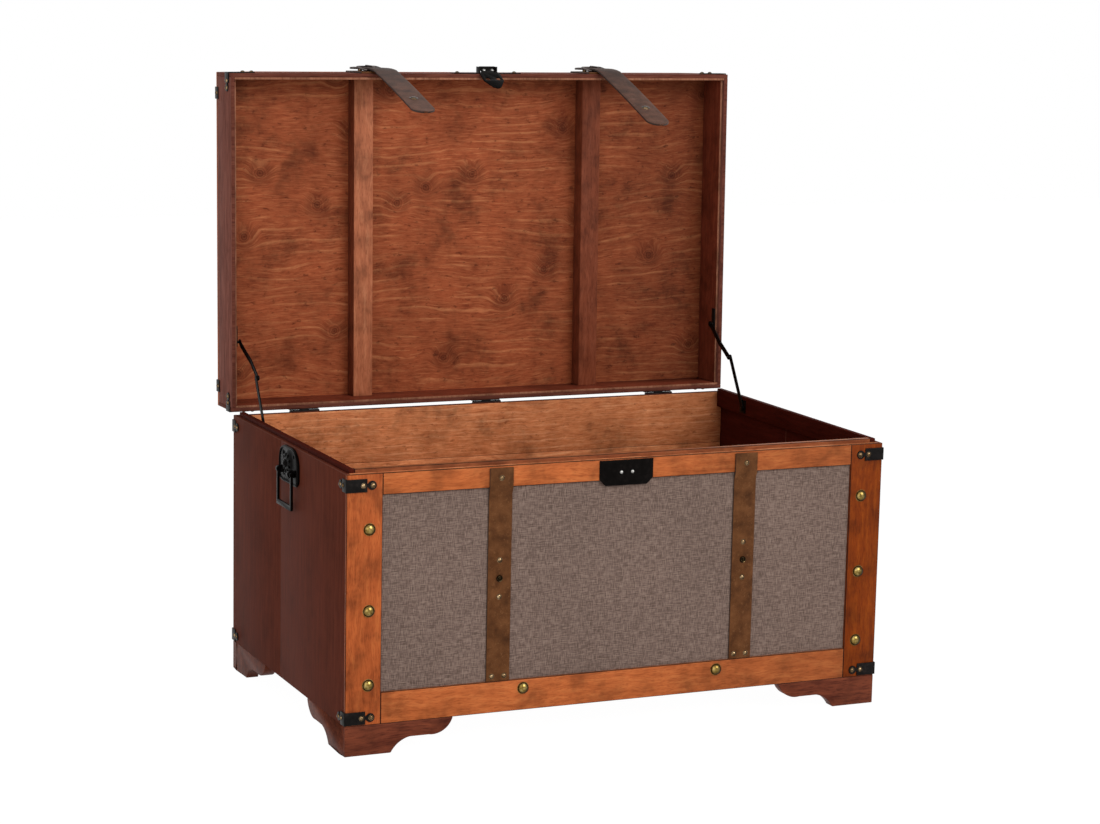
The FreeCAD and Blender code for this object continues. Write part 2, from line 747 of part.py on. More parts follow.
def buckle(x):
    """A wire loop: its lower bar lies behind the root, and it leans out to pass in front of it."""
    w, wire, low = buckle_width / 2, buckle_wire, rim_z + buckle_rise
    y0, y1 = root_back, root_back + wire
    loop = box(x - w, x + w, y0, y1, low, low + buckle_height)
    corners = [edge for edge in loop.Edges if edge.BoundBox.XLength + edge.BoundBox.ZLength < wire / 2]
    loop = loop.makeFillet(buckle_corner, corners)
    loop = loop.cut(box(x - w + wire, x + w - wire, y0, y1, low, low + buckle_height - wire))
    loop.rotate(V(x, y1, low), V(1, 0, 0), buckle_tilt)
    return fuse([loop, box(x - w + wire / 2, x + w - wire / 2, y0, y1, low, low + wire)])


def tongue(x):
    """The free end of a strap, closed: from its fold down to its round point."""
    half, top = strap_width / 2, root_end_z - tongue_gap
    tip = V(x, root_back, top - tongue_length)
    top_left, top_right = V(x - half, root_back, top), V(x + half, root_back, top)
    left, right = tip + V(-half, 0, tongue_point), tip + V(half, 0, tongue_point)
    strap = leather([Part.makeLine(left, top_left), Part.makeLine(top_left, top_right),
                     Part.makeLine(top_right, right), Part.Arc(right, tip, left).toShape()])
    cap = cylinder("y", (x, snap_stud_height), snap_radius, root_front - snap_cap_height, root_front)
    return fuse([strap, cap])


def fold_point(x):
    """The corner of the root's end that the tongue turns about, closed."""
    return V(x - strap_width / 2, root_back, root_end_z)


def fold_turn(name):
    """How a hanging tongue is turned from its root, with the lid open."""
    _, skew, droop = hang_angles[name]
    return FreeCAD.Rotation(V(0, 1, 0), skew) * FreeCAD.Rotation(V(1, 0, 0), droop)


def hanging_tongue(name, side):
    turn = fold_turn(name)
    shape = tongue(side * strap_x)
    shape.rotate(fold_point(side * strap_x), turn.Axis, math.degrees(turn.Angle))
    return swivelled(shape, name, side)


def lid_straps():
    parts = {"lid_straps": group([opened(lid_strap(s * strap_x)) for _, s in sides])}
    for name, s in sides:
        parts["strap_root_" + name] = swivelled(strap_root(s * strap_x), name, s)
        parts["buckle_" + name] = swivelled(buckle(s * strap_x), name, s)
        parts["strap_tongue_" + name] = hanging_tongue(name, s)
    return parts


def edge_strap(sx, sy):
    """A metal strap over a side edge of the lid's top, with its rivets."""
    t, y, x = plate_thickness, sy * (half_d - edge_strap_inset), sx * half_w
    y0, y1 = y - bracket_height / 2, y + bracket_height / 2
    plate = fuse([box(x + sx * t, x - sx * edge_strap_reach, y0, y1, lid_top, lid_top + t),
                  box(x, x + sx * t, y0, y1, lid_top - edge_strap_drop, lid_top)])
    heads = [dome((x + sx * t, y, lid_top - edge_strap_drop / 2), (sx, 0, 0), bracket_rivet_radius,
                  rivet_height)]
    heads += [dome((x - sx * a, y, lid_top + t), (0, 0, 1), bracket_rivet_radius, rivet_height)
              for a in edge_strap_rivets]
    return plate, heads


def lid_trim():
    brackets, heads, nails = [], [], []
    height = rim_z + lid_bracket_rise + bracket_height / 2
    for sx, sy in corner_signs:
        for plate, rivets in (corner_bracket(sx, sy, height), edge_strap(sx, sy)):
            brackets.append(plate)
            heads += rivets
    places = [(half_w - stile_nail_inset, y) for y in lid_nail_ys]
    places += [(lid_rail_nail_x, s * (half_d - lid_rail_width / 2)) for s in (-1, 1)]
    for s in (-1, 1):
        nails += [dome((s * x, y, lid_top), (0, 0, 1), nail_radius, nail_height) for x, y in places]
        heads.append(dome((s * hasp_rivet_x, -half_d - plate_thickness,
                           rim_z + hasp_base_rise + hasp_base_height / 2), (0, -1, 0),
                          bracket_rivet_radius, rivet_height))
    return {
        "lid_corner_brackets": group([opened(shape) for shape in brackets]),
        "lid_dome_nails": group([opened(shape) for shape in nails]),
        "lid_fasteners": group([opened(shape) for shape in heads]
                               + [root_rivet(s * strap_x) for s in (-1, 1)]),
    }


def hasp_base():
    low, half = rim_z + hasp_base_rise, hasp_base_width / 2
    face, ear = -half_d - plate_thickness, hasp_ear_gap / 2
    solids = [box(-half, half, face, -half_d, low, low + hasp_base_height),
              cylinder("x", (hasp_pin_y, hasp_pin_z), hasp_pin_radius, -ear - hasp_ear_thickness,
                       ear + hasp_ear_thickness)]
    for s in (-1, 1):
        solids.append(box(s * ear, s * (ear + hasp_ear_thickness), -half_d - hasp_ear_reach, -half_d,
                          hasp_pin_z - hasp_ear_height / 2, hasp_pin_z + hasp_ear_height / 2))
    return opened(fuse(solids))


def hasp_flap():
    """The flap that turns on the hasp's pin, with holes for the two studs of the lock plate."""
    w, shoulder, point, t = hasp_width / 2, hasp_shoulder_width / 2, hasp_point_width / 2, plate_thickness
    half = [(w, 0), (w, hasp_neck_length), (shoulder, hasp_shoulder_place), (shoulder, hasp_taper_place),
            (point, hasp_point_place)]
    outline = half + [(0, hasp_length)] + [(-a, b) for a, b in half[::-1]]
    y, z = hasp_pin_y, hasp_pin_z
    plate = prism([(a, z - b) for a, b in outline], "y", y - t / 2, y + t / 2)
    flap = fuse([plate, cylinder("x", (y, z), hasp_barrel_radius, -w, w)])
    flap = flap.cut(cylinder("x", (y, z), hasp_pin_radius + running_fit, -w, w))
    for s in (-1, 1):
        stud = (s * stud_spacing / 2, ledge_height - stud_drop)
        flap = flap.cut(cylinder("y", stud, stud_radius + stud_clearance, y - t, y + t))
    flap.rotate(V(0, y, z), V(1, 0, 0), hasp_droop)
    return opened(flap)


def trunk():
    parts = {"hasp_base": hasp_base(), "hasp_flap": hasp_flap()}
    for name, side in sides:
        parts["handle_plate_" + name] = handle_plate(side)
        parts["handle_bail_" + name] = handle_bail(side)
    for pieces in (front_wall, side_and_back_walls, lips, base, feet, carcass_trim, lock, hinges,
                   stays, lid_straps, lid_trim):
        parts.update(pieces())
    parts.update({name: opened(shape) for name, shape in lid_box().items()})
    return parts


def write(parts):
    os.makedirs("parts", exist_ok=True)
    for name, shape in sorted(parts.items()):
        shape.exportStep(f"parts/{name}.step")
    print(len(parts), "nodes,", sum(len(shape.Solids) for shape in parts.values()), "solids")


write(trunk())
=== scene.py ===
import json
import math

import bmesh
import bpy
from mathutils import Matrix, Vector

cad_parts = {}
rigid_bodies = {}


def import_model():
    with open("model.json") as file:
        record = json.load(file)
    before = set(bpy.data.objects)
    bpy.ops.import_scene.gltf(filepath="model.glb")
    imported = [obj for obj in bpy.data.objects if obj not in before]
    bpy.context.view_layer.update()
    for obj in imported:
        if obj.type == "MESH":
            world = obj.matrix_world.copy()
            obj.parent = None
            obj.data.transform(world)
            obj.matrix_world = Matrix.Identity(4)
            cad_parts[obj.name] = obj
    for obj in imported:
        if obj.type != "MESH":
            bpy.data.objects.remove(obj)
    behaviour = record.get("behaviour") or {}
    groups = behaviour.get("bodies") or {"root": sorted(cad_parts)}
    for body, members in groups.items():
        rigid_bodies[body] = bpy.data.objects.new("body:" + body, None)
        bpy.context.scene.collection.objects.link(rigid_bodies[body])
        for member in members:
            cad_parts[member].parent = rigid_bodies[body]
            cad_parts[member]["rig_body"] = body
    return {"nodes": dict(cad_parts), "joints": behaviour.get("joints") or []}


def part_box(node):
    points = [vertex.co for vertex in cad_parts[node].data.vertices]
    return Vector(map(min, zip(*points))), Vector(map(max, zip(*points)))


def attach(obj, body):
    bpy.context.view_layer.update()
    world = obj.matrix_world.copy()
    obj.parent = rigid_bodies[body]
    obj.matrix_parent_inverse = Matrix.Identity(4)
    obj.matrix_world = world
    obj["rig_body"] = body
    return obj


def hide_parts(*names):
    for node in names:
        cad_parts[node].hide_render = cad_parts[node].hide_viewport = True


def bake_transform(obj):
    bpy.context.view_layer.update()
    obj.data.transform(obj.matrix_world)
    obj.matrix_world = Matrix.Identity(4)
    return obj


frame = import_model()
nodes = frame["nodes"]
joints = {joint["name"]: joint for joint in frame["joints"]}
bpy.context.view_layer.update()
mm = 0.001
print("frame loaded:", len(nodes), "nodes")

# Camera: a long lens from the left of the front, a little above the rim
cameraView = {"azimuth": -24.048, "elevation": 9.431, "roll": 1.198,
              "place": (-1.5604, -3.4850, 1.0362), "lens": 88.52, "farthest": 60}


def makeCamera(view):
    camera = bpy.data.objects.new("camera", bpy.data.cameras.new("camera"))
    bpy.context.scene.collection.objects.link(camera)
    camera.data.lens = view["lens"]
    camera.data.clip_end = view["farthest"]
    turn = (Matrix.Rotation(math.radians(view["azimuth"]), 4, "Z")
            @ Matrix.Rotation(math.radians(90 - view["elevation"]), 4, "X")
            @ Matrix.Rotation(math.radians(view["roll"]), 4, "Z"))
    camera.matrix_world = Matrix.Translation(view["place"]) @ turn
    bpy.context.scene.camera = camera


makeCamera(cameraView)
bpy.context.scene.view_settings.view_transform = "Standard"


# Nodes and colours

def linear(colour):
    # A hex colour or a grey, as a linear colour
    if not isinstance(colour, str):
        return (colour, colour, colour, 1)
    parts = [int(colour[i:i + 2], 16) / 255 for i in (1, 3, 5)]
    return [c / 12.92 if c <= 0.04045 else ((c + 0.055) / 1.055) ** 2.4 for c in parts] + [1]


def addNode(tree, kind, inputs=None, out=0, stops=(), between="LINEAR", **settings):
    # Adds a node with its settings. An input is a value to set or a socket to link from, out is
    # the output that comes back (None for all), and stops are a colour ramp's places and colours
    node = tree.nodes.new("ShaderNode" + kind)
    for name, value in settings.items():
        setattr(node, name, value)
    for name, value in (inputs or {}).items():
        if isinstance(value, bpy.types.NodeSocket):
            tree.links.new(value, node.inputs[name])
        else:
            node.inputs[name].default_value = linear(value) if isinstance(value, str) else value
    if stops:
        node.color_ramp.interpolation = between
        elements = node.color_ramp.elements
        while len(elements) < len(stops):
            elements.new(0.5)
        for element, (position, colour) in zip(elements, stops):
            element.position = position
            element.color = linear(colour)
    return node.outputs if out is None else node.outputs[out]


def perMetre(sizeMm):
    # The scale of a pattern whose cells are so many millimetres wide
    return 1 / (sizeMm * mm)


mixing = {"data_type": "RGBA", "out": 2}
multiplying = dict(mixing, blend_type="MULTIPLY")


def newMaterial(name):
    # An empty material, its tree, and the place on the object
    material = bpy.data.materials.new(name)
    material.use_nodes = True
    tree = material.node_tree
    tree.nodes.clear()
    return material, tree, addNode(tree, "TexCoord", out="Object")


def finishMaterial(tree, finish, height, bump, reliefMm):
    # Joins a shader of this finish to the output, over a bump of so many millimetres
    relief = addNode(tree, "Bump", {"Height": height, "Strength": bump, "Distance": reliefMm * mm})
    shader = addNode(tree, "BsdfPrincipled", dict(finish, Normal=relief))
    addNode(tree, "OutputMaterial", {"Surface": shader}, out=None)


def stainAndShadeToOneSide(tree, tone, place, stainAndShadeGradient):
    # Colour that comes out darker to one side: an axis, two places on it, and the strength at each. On the
    # lid panel and the veneer inside the box it is painted shade and painted light, on the rails a stain, on
    # the tongues darker by the root
    axis, start, end, near, far = stainAndShadeGradient
    along = addNode(tree, "SeparateXYZ", {"Vector": place}, out=axis)
    share = addNode(tree, "MapRange", {"Value": along, "From Min": start, "From Max": end,
                                       "To Min": near, "To Max": far}, interpolation_type="SMOOTHSTEP")
    return addNode(tree, "Mix", {0: 1.0, 6: tone, 7: share}, **multiplying)


# Wood

frameWood = {"dark": "#7A3615", "middle": "#A35127", "light": "#BE6A36", "line": "#5E260E",
             "grainMm": 1.3, "stretch": 0.12, "blotchMm": 42, "grain": 0.55, "blotch": 0.9,
             "wanderMm": 111.1, "bendMm": 20, "knots": 0.35, "knotMm": 110,
             "roughness": 0.42, "poreRoughness": 0.14, "specular": 0.08}
railWood = dict(frameWood, dark="#7F3C19", middle="#AB5B2F", light="#C67742", line="#6B3114",
                stainAndShadeGradient=("X", -0.1, 0.35, 1.04, 0.76))
frameDarkWood = dict(frameWood, dark="#541D03", middle="#743006", light="#90460F", line="#431402")
# Top faces: a paler copy of the frame's pine, painted light from above
rimPaintedLightWood = dict(frameWood, dark="#7C3D1E", middle="#9C5A34", light="#BA7A4C")
# The front lip's upright faces: a darker copy, painted shade
lipFacePaintedShadeWood = dict(frameWood, dark="#5E2A16", middle="#854829", light="#A0623D")
# Eased edges of the frame and front lip: stain gathered in the joints, and painted shade along every eased
# edge
jointStainAndEdgeShadeWood = dict(frameWood, dark="#1E0C06", middle="#2C130A", light="#3E1D10", line="#160804")
battenWood = dict(frameWood, dark="#7C4733", middle="#A96344", light="#C4825E", line="#5C2E1C")
# A darker copy for the right batten and the battens' side faces: painted shade
battenPaintedShadeWood = dict(frameWood, dark="#542718", middle="#743A25", light="#8B4D37", line="#3E1A10")
footWood = dict(frameWood, dark="#461A0F", middle="#63301F", light="#7E4029", line="#35110A",
                grainMm=1.8, stretch=0.1, blotchMm=35, grain=0.8, blotch=0.7, roughness=0.4,
                knots=0.2, knotMm=70)
liningWood = dict(frameWood, dark="#55241A", middle="#743523", light="#8E4A33", line="#3E160D",
                  specular=0.03)
# A darker copy of the lining for the left lining's inner face: painted shade
liningPaintedShadeWood = dict(liningWood, dark="#38170F", middle="#4F2217", light="#663223")
liningRimWood = dict(liningWood, dark="#6C3B28", middle="#8F5F48", light="#AA7C62", knots=0)
sideWood = dict(frameWood, dark="#472015", middle="#5B2B1E", light="#6B3627", line="#36120C",
                grainMm=1.6, stretch=0.05, blotchMm=80, grain=0.5, blotch=0.5, roughness=0.55,
                specular=0.02, knots=0)
# A darker copy of the side plywood for its inner faces and the side lips: painted shade
sideInsidePaintedShadeWood = dict(sideWood, dark="#2C0B07", middle="#42150D", light="#541F16", line="#240804")
# A paler plywood for the side boards' eased edges
sideEdgeWood = dict(sideWood, dark="#4E2A20", middle="#613A2F", light="#6E463A")
lidWallWood = dict(sideWood, dark="#5C362E", middle="#7E4C41", light="#935F52", line="#41211B", grain=0.8)
lidLongWood = dict(lidWallWood, dark="#4E2A22", middle="#6B3B30", light="#7D4A3D")
lidRimWood = dict(lidWallWood, dark="#44221B", middle="#603429", light="#744638")


def stainedWood(name, wood, along):
    # Thin plywood and pine, wiped with a stain and waxed: the grain drinks the stain unevenly
    material, tree, place = newMaterial(name)
    wander = addNode(tree, "TexNoise", {"Vector": place, "Scale": perMetre(wood["wanderMm"])}, out="Color")
    bent = addNode(tree, "VectorMath", {0: wander, 1: [wood["bendMm"] * mm] * 3, 2: place},
                   operation="MULTIPLY_ADD")
    stretch = [wood["stretch"] if axis == along else 1 for axis in "xyz"]
    run = addNode(tree, "Mapping", {"Vector": bent, "Scale": stretch})
    grain = addNode(tree, "TexNoise", {"Vector": run, "Scale": perMetre(4 * wood["grainMm"]),
                                       "Detail": 6.0, "Roughness": 0.65})
    pores = addNode(tree, "TexNoise", {"Vector": run, "Scale": perMetre(wood["grainMm"]), "Detail": 3.0})
    blotches = addNode(tree, "TexNoise", {"Vector": place, "Scale": perMetre(wood["blotchMm"]),
                                          "Detail": 4.0, "Roughness": 0.6})
    tone = addNode(tree, "ValToRGB", {0: grain},
                   stops=[(0.3, wood["dark"]), (0.5, wood["middle"]), (0.72, wood["light"])])
    tone = addNode(tree, "Mix", {0: wood["grain"], 6: wood["middle"], 7: tone}, **mixing)
    stain = addNode(tree, "ValToRGB", {0: blotches}, stops=[(0.34, 0.6), (0.5, 0.97), (0.68, 1.15)])
    stained = addNode(tree, "Mix", {0: 1.0, 6: tone, 7: stain}, **multiplying)
    tone = addNode(tree, "Mix", {0: wood["blotch"], 6: tone, 7: stained}, **mixing)
    lines = addNode(tree, "ValToRGB", {0: pores}, stops=[(0.36, 1.0), (0.46, 0.0)])
    lines = addNode(tree, "Math", {0: lines, 1: 0.5 * wood["grain"]}, operation="MULTIPLY")
    tone = addNode(tree, "Mix", {0: lines, 6: tone, 7: wood["line"]}, **mixing)
    if wood["knots"]:
        cells = addNode(tree, "TexVoronoi", {"Vector": bent, "Scale": perMetre(wood["knotMm"])})
        knots = addNode(tree, "ValToRGB", {0: cells}, stops=[(0.03, 1.0), (0.1, 0.25), (0.2, 0.0)])
        knots = addNode(tree, "Math", {0: knots, 1: wood["knots"]}, operation="MULTIPLY")
        tone = addNode(tree, "Mix", {0: knots, 6: tone, 7: wood["line"]}, **mixing)
    if "stainAndShadeGradient" in wood:
        tone = stainAndShadeToOneSide(tree, tone, place, wood["stainAndShadeGradient"])
    shine = addNode(tree, "Math", {0: pores, 1: wood["poreRoughness"], 2: wood["roughness"]},
                    operation="MULTIPLY_ADD")
    finish = {"Base Color": tone, "Roughness": shine, "IOR": 1.5, "Specular IOR Level": wood["specular"]}
    finishMaterial(tree, finish, grain, bump=0.25, reliefMm=0.3)
    return material


# Fields of noise: size in millimetres, stretch along the board, detail and roughness
panelWood = {"dark": "#6A2E1A", "middle": "#8A4428", "light": "#A05837", "pale": "#BE7A50",
             "line": "#40170B", "ringMm": 15, "knotMm": 135, "warpMm": 6, "driftMm": 100, "waveMm": 10,
             # the gradient darkens the panel's right part: painted shade from the lid's right wall
             "pullMm": 16, "roughness": 0.55, "specular": 0.06, "stainAndShadeGradient": ("X", 0.05, 0.36, 1.03, 0.62),
             "fields": {"warp": (11, 1, 3, 0.55), "drift": (210, 0.4, 2, 0.55), "wave": (32, 0.5, 3, 0.55),
                        "shown": (55, 0.5, 3, 0.55), "blotch": (80, 1, 7, 0.68), "dirt": (8, 0.5, 4, 0.7)},
             "grainFields": {"streaks": (1.7, 0.07, 5, 0.75), "flecks": (5, 0.22, 5, 0.7),
                             "threads": (1.7, 0.05, 4, 0.7)}}
# The veneer inside the box is paler than the lid's, and its gradient is lighter to the left and darker to
# the right: painted light and painted shade
backPaintedLightWood = dict(panelWood, dark="#8E4D2C", middle="#B56B42", light="#CB8659", pale="#DB9C70",
                line="#6E351C", knotMm=230, driftMm=30, ringMm=11, stainAndShadeGradient=("X", -0.35, 0.3, 1.22, 0.92))


def rotaryVeneer(name, wood, across):
    # Rotary-cut plywood: fine level streaks that bend round knots, pale rings, a stain that blotches
    material, tree, place = newMaterial(name)
    axes = addNode(tree, "SeparateXYZ", {"Vector": place}, out=None)
    face = addNode(tree, "CombineXYZ", {"X": axes["X"], "Y": axes[across]})
    fields = {}
    for field, (sizeMm, share, detail, rough) in wood["fields"].items():
        run = addNode(tree, "Mapping", {"Vector": face, "Scale": (share, 1, 1)})
        fields[field] = addNode(tree, "TexNoise", {"Vector": run, "Scale": perMetre(sizeMm),
                                                   "Detail": detail, "Roughness": rough})
    warp = addNode(tree, "Math", {0: fields["warp"], 1: wood["warpMm"] * mm}, operation="MULTIPLY")
    ragged = addNode(tree, "CombineXYZ", {
        "X": addNode(tree, "Math", {0: axes["X"], 1: warp}, operation="ADD"),
        "Y": addNode(tree, "Math", {0: axes[across], 1: warp}, operation="SUBTRACT")})
    knots = addNode(tree, "TexVoronoi", {"Vector": ragged, "Scale": perMetre(wood["knotMm"])},
                    voronoi_dimensions="2D")
    pull = addNode(tree, "ValToRGB", {0: knots}, stops=[(0.0, 1.0), (0.22, 0.0)], between="EASE")
    level = axes[across]
    for field, reachMm in ((fields["drift"], wood["driftMm"]), (fields["wave"], wood["waveMm"]),
                           (pull, wood["pullMm"])):
        level = addNode(tree, "Math", {0: field, 1: reachMm * mm, 2: level}, operation="MULTIPLY_ADD")
    bent = addNode(tree, "CombineXYZ", {"X": axes["X"], "Y": level})
    grain = {}
    for field, (sizeMm, share, detail, rough) in wood["grainFields"].items():
        run = addNode(tree, "Mapping", {"Vector": bent, "Scale": (share, 1, 1)})
        grain[field] = addNode(tree, "TexNoise", {"Vector": run, "Scale": perMetre(sizeMm),
                                                  "Detail": detail, "Roughness": rough})
    figure = addNode(tree, "Mix", {0: 0.45, 2: grain["streaks"], 3: grain["flecks"]})
    tone = addNode(tree, "ValToRGB", {0: figure},
                   stops=[(0.36, wood["dark"]), (0.49, wood["middle"]), (0.66, wood["light"])])
    threads = addNode(tree, "ValToRGB", {0: grain["threads"]}, stops=[(0.54, 0.0), (0.66, 0.42)])
    rings = addNode(tree, "Math", {0: level, 1: wood["ringMm"] * mm}, operation="DIVIDE")
    rings = addNode(tree, "Math", {0: rings}, operation="FRACT")
    rings = addNode(tree, "ValToRGB", {0: rings}, stops=[(0.0, 0.0), (0.62, 0.0), (0.9, 1.0), (1.0, 0.0)],
                    between="EASE")
    shown = addNode(tree, "ValToRGB", {0: fields["shown"]}, stops=[(0.44, 0.0), (0.58, 0.85)])
    rings = addNode(tree, "Math", {0: rings, 1: shown}, operation="MULTIPLY")
    rings = addNode(tree, "Math", {0: rings, 1: grain["flecks"]}, operation="MULTIPLY")
    stain = addNode(tree, "ValToRGB", {0: fields["blotch"]},
                    stops=[(0.34, 0.52), (0.46, 0.92), (0.64, 1.2)])
    dirt = addNode(tree, "ValToRGB", {0: fields["dirt"]}, stops=[(0.33, 0.6), (0.41, 0.0)])
    eyes = addNode(tree, "ValToRGB", {0: knots},
                   stops=[(0.0, 0.9), (0.02, 0.5), (0.032, 0.8), (0.045, 0.25), (0.056, 0.6),
                          (0.07, 0.15), (0.085, 0.38), (0.18, 0.0)])
    for share, colour, how in ((threads, wood["pale"], mixing), (rings, wood["pale"], mixing),
                               (1.0, stain, multiplying), (dirt, wood["line"], mixing),
                               (eyes, wood["line"], mixing)):
        tone = addNode(tree, "Mix", {0: share, 6: tone, 7: colour}, **how)
    # Darker to one side: painted shade on the lid panel, painted light and shade on the veneer inside the
    # box
    tone = stainAndShadeToOneSide(tree, tone, place, wood["stainAndShadeGradient"])
    finish = {"Base Color": tone, "Roughness": wood["roughness"], "IOR": 1.5,
              "Specular IOR Level": wood["specular"]}
    finishMaterial(tree, finish, grain["streaks"], bump=0.2, reliefMm=0.3)
    return material


# Linen

linenCloth = {"light": "#887469", "middle": "#705D55", "dark": "#584840", "threadMm": 1.1,
              "slubMm": 0.78, "slubAlong": (0.06, 0.08), "wearMm": 142.9, "roughness": 0.9,
              "specular": 0.05, "sheen": 0.04}


def linenWeave(name, cloth):
    # Coarse linen glued to the board: plain weave, slubby threads, quite matt. Its threads are
    # about 0.6 mm apart, too fine to draw, so they are drawn 1.1 mm apart
    material, tree, place = newMaterial(name)
    axes = addNode(tree, "SeparateXYZ", {"Vector": place}, out=None)
    waves = []
    for axis in "XZ":
        turn = addNode(tree, "Math", {0: axes[axis], 1: 2 * math.pi * perMetre(cloth["threadMm"])},
                       operation="MULTIPLY")
        waves.append(addNode(tree, "Math", {0: turn}, operation="SINE"))
    weave = addNode(tree, "Math", {0: waves[0], 1: waves[1]}, operation="MULTIPLY")
    weave = addNode(tree, "Math", {0: weave, 1: 0.5, 2: 0.5}, operation="MULTIPLY_ADD")
    level, upright = cloth["slubAlong"]
    slubs = []
    for stretch in ((level, 1, 1), (1, 1, upright)):
        run = addNode(tree, "Mapping", {"Vector": place, "Scale": stretch})
        slubs.append(addNode(tree, "TexNoise", {"Vector": run, "Scale": perMetre(cloth["slubMm"]),
                                                "Detail": 1.0, "Roughness": 0.7}))
    slub = addNode(tree, "Mix", {0: 0.5, 2: slubs[0], 3: slubs[1]})
    wear = addNode(tree, "TexNoise", {"Vector": place, "Scale": perMetre(cloth["wearMm"])})
    tone = addNode(tree, "ValToRGB", {0: slub},
                   stops=[(0.4, cloth["dark"]), (0.5, cloth["middle"]), (0.6, cloth["light"])])
    # Painted light and shade on the weave: the raised threads lighter, the hollows between them darker
    threads = addNode(tree, "ValToRGB", {0: weave}, stops=[(0.0, 0.86), (1.0, 1.1)])
    wear = addNode(tree, "ValToRGB", {0: wear}, stops=[(0.3, 0.94), (0.7, 1.05)])
    for weaveShadeAndWear in (threads, wear):
        tone = addNode(tree, "Mix", {0: 1.0, 6: tone, 7: weaveShadeAndWear}, **multiplying)
    height = addNode(tree, "Math", {0: slub, 1: 0.8, 2: weave}, operation="MULTIPLY_ADD")
    finish = {"Base Color": tone, "Roughness": cloth["roughness"], "IOR": 1.45,
              "Specular IOR Level": cloth["specular"], "Sheen Weight": cloth["sheen"]}
    finishMaterial(tree, finish, height, bump=0.5, reliefMm=0.5)
    return material


# Leather

strapHide = {"light": "#6C4427", "middle": "#5B371D", "dark": "#432612", "worn": "#7B5334",
             "edge": "#24130A", "pebbleMm": 1.4, "cloudMm": 22.2, "scuffMm": 4.76, "fibreMm": 1.11,
             "roughness": 0.55, "scuffRoughness": 0.25, "specular": 0.08}
tongueHide = dict(strapHide, light="#6B4637", middle="#563627", dark="#3A2217", worn="#756057",
                  edge="#1A110D", roughness=0.5, stainAndShadeGradient=("Z", 0.845, 0.876, 1.0, 0.5))


def strapLeather(name, hide):
    # Split hide, dyed and pressed: pebbled grain, scuffs that show paler, a slight gloss
    material, tree, place = newMaterial(name)
    pebbles = addNode(tree, "TexVoronoi", {"Vector": place, "Scale": perMetre(hide["pebbleMm"])},
                      feature="DISTANCE_TO_EDGE")
    clouds = addNode(tree, "TexNoise", {"Vector": place, "Scale": perMetre(hide["cloudMm"]),
                                        "Detail": 5.0, "Roughness": 0.6})
    scuffs = addNode(tree, "TexNoise", {"Vector": place, "Scale": perMetre(hide["scuffMm"]),
                                        "Detail": 4.0, "Roughness": 0.7})
    tone = addNode(tree, "ValToRGB", {0: clouds},
                   stops=[(0.32, hide["dark"]), (0.5, hide["middle"]), (0.7, hide["light"])])
    worn = addNode(tree, "ValToRGB", {0: scuffs}, stops=[(0.56, 0.0), (0.72, 0.6)])
    tone = addNode(tree, "Mix", {0: worn, 6: tone, 7: hide["worn"]}, **mixing)
    # Painted shade in the creases between the pebbles
    creaseShade = addNode(tree, "ValToRGB", {0: pebbles}, stops=[(0.0, 0.78), (0.12, 1.0)])
    tone = addNode(tree, "Mix", {0: 1.0, 6: tone, 7: creaseShade}, **multiplying)
    if "stainAndShadeGradient" in hide:
        tone = stainAndShadeToOneSide(tree, tone, place, hide["stainAndShadeGradient"])
    shine = addNode(tree, "Math", {0: worn, 1: hide["scuffRoughness"], 2: hide["roughness"]},
                    operation="MULTIPLY_ADD")
    finish = {"Base Color": tone, "Roughness": shine, "IOR": 1.46, "Specular IOR Level": hide["specular"]}
    finishMaterial(tree, finish, pebbles, bump=0.25, reliefMm=0.4)
    return material


def cutEdge(name, hide):
    # The strap's cut edge: fibres burnished dark
    material, tree, place = newMaterial(name)
    fibres = addNode(tree, "TexNoise", {"Vector": place, "Scale": perMetre(hide["fibreMm"]), "Detail": 3.0})
    tone = addNode(tree, "ValToRGB", {0: fibres}, stops=[(0.35, hide["edge"]), (0.7, hide["dark"])])
    finishMaterial(tree, {"Base Color": tone, "Roughness": 0.6, "IOR": 1.46}, fibres, bump=0.3, reliefMm=0.3)
    return material


# Metal

ironFinish = {"low": "#060403", "middle": "#0A0706", "high": "#130F0D", "patchMm": 8.33,
              "gritMm": 0.6, "roughness": 0.16, "patchRoughness": 0.2, "specular": 0.035, "metallic": 0.0}
bracketFinish = dict(ironFinish, low="#0D0B0A", middle="#151211", high="#292320", roughness=0.28,
                     specular=0.06)
buckleFinish = dict(ironFinish, low="#332C2B", middle="#5C5351", high="#8A807C", roughness=0.22,
                    specular=0.5, metallic=0.9)
# The darkest colour of each brass finish is the painted shade at the heads' rims
nailFinish = {"low": "#6B5527", "middle": "#8F7840", "high": "#B39E68", "mottleAndRimShade": "#2A1E0C",
              "washMm": 4.17, "roughness": 0.2}
rivetFinish = dict(nailFinish, low="#52402B", middle="#846B4C", high="#BDA27D", mottleAndRimShade="#2A1D11",
                   roughness=0.24)
snapFinish = dict(nailFinish, low="#1C150C", middle="#33281A", high="#6B5838", mottleAndRimShade="#120C06",
                  roughness=0.26)
zincFinish = {"low": "#777674", "high": "#ABA9A5", "scratchMm": 1.43, "roughness": 0.25}


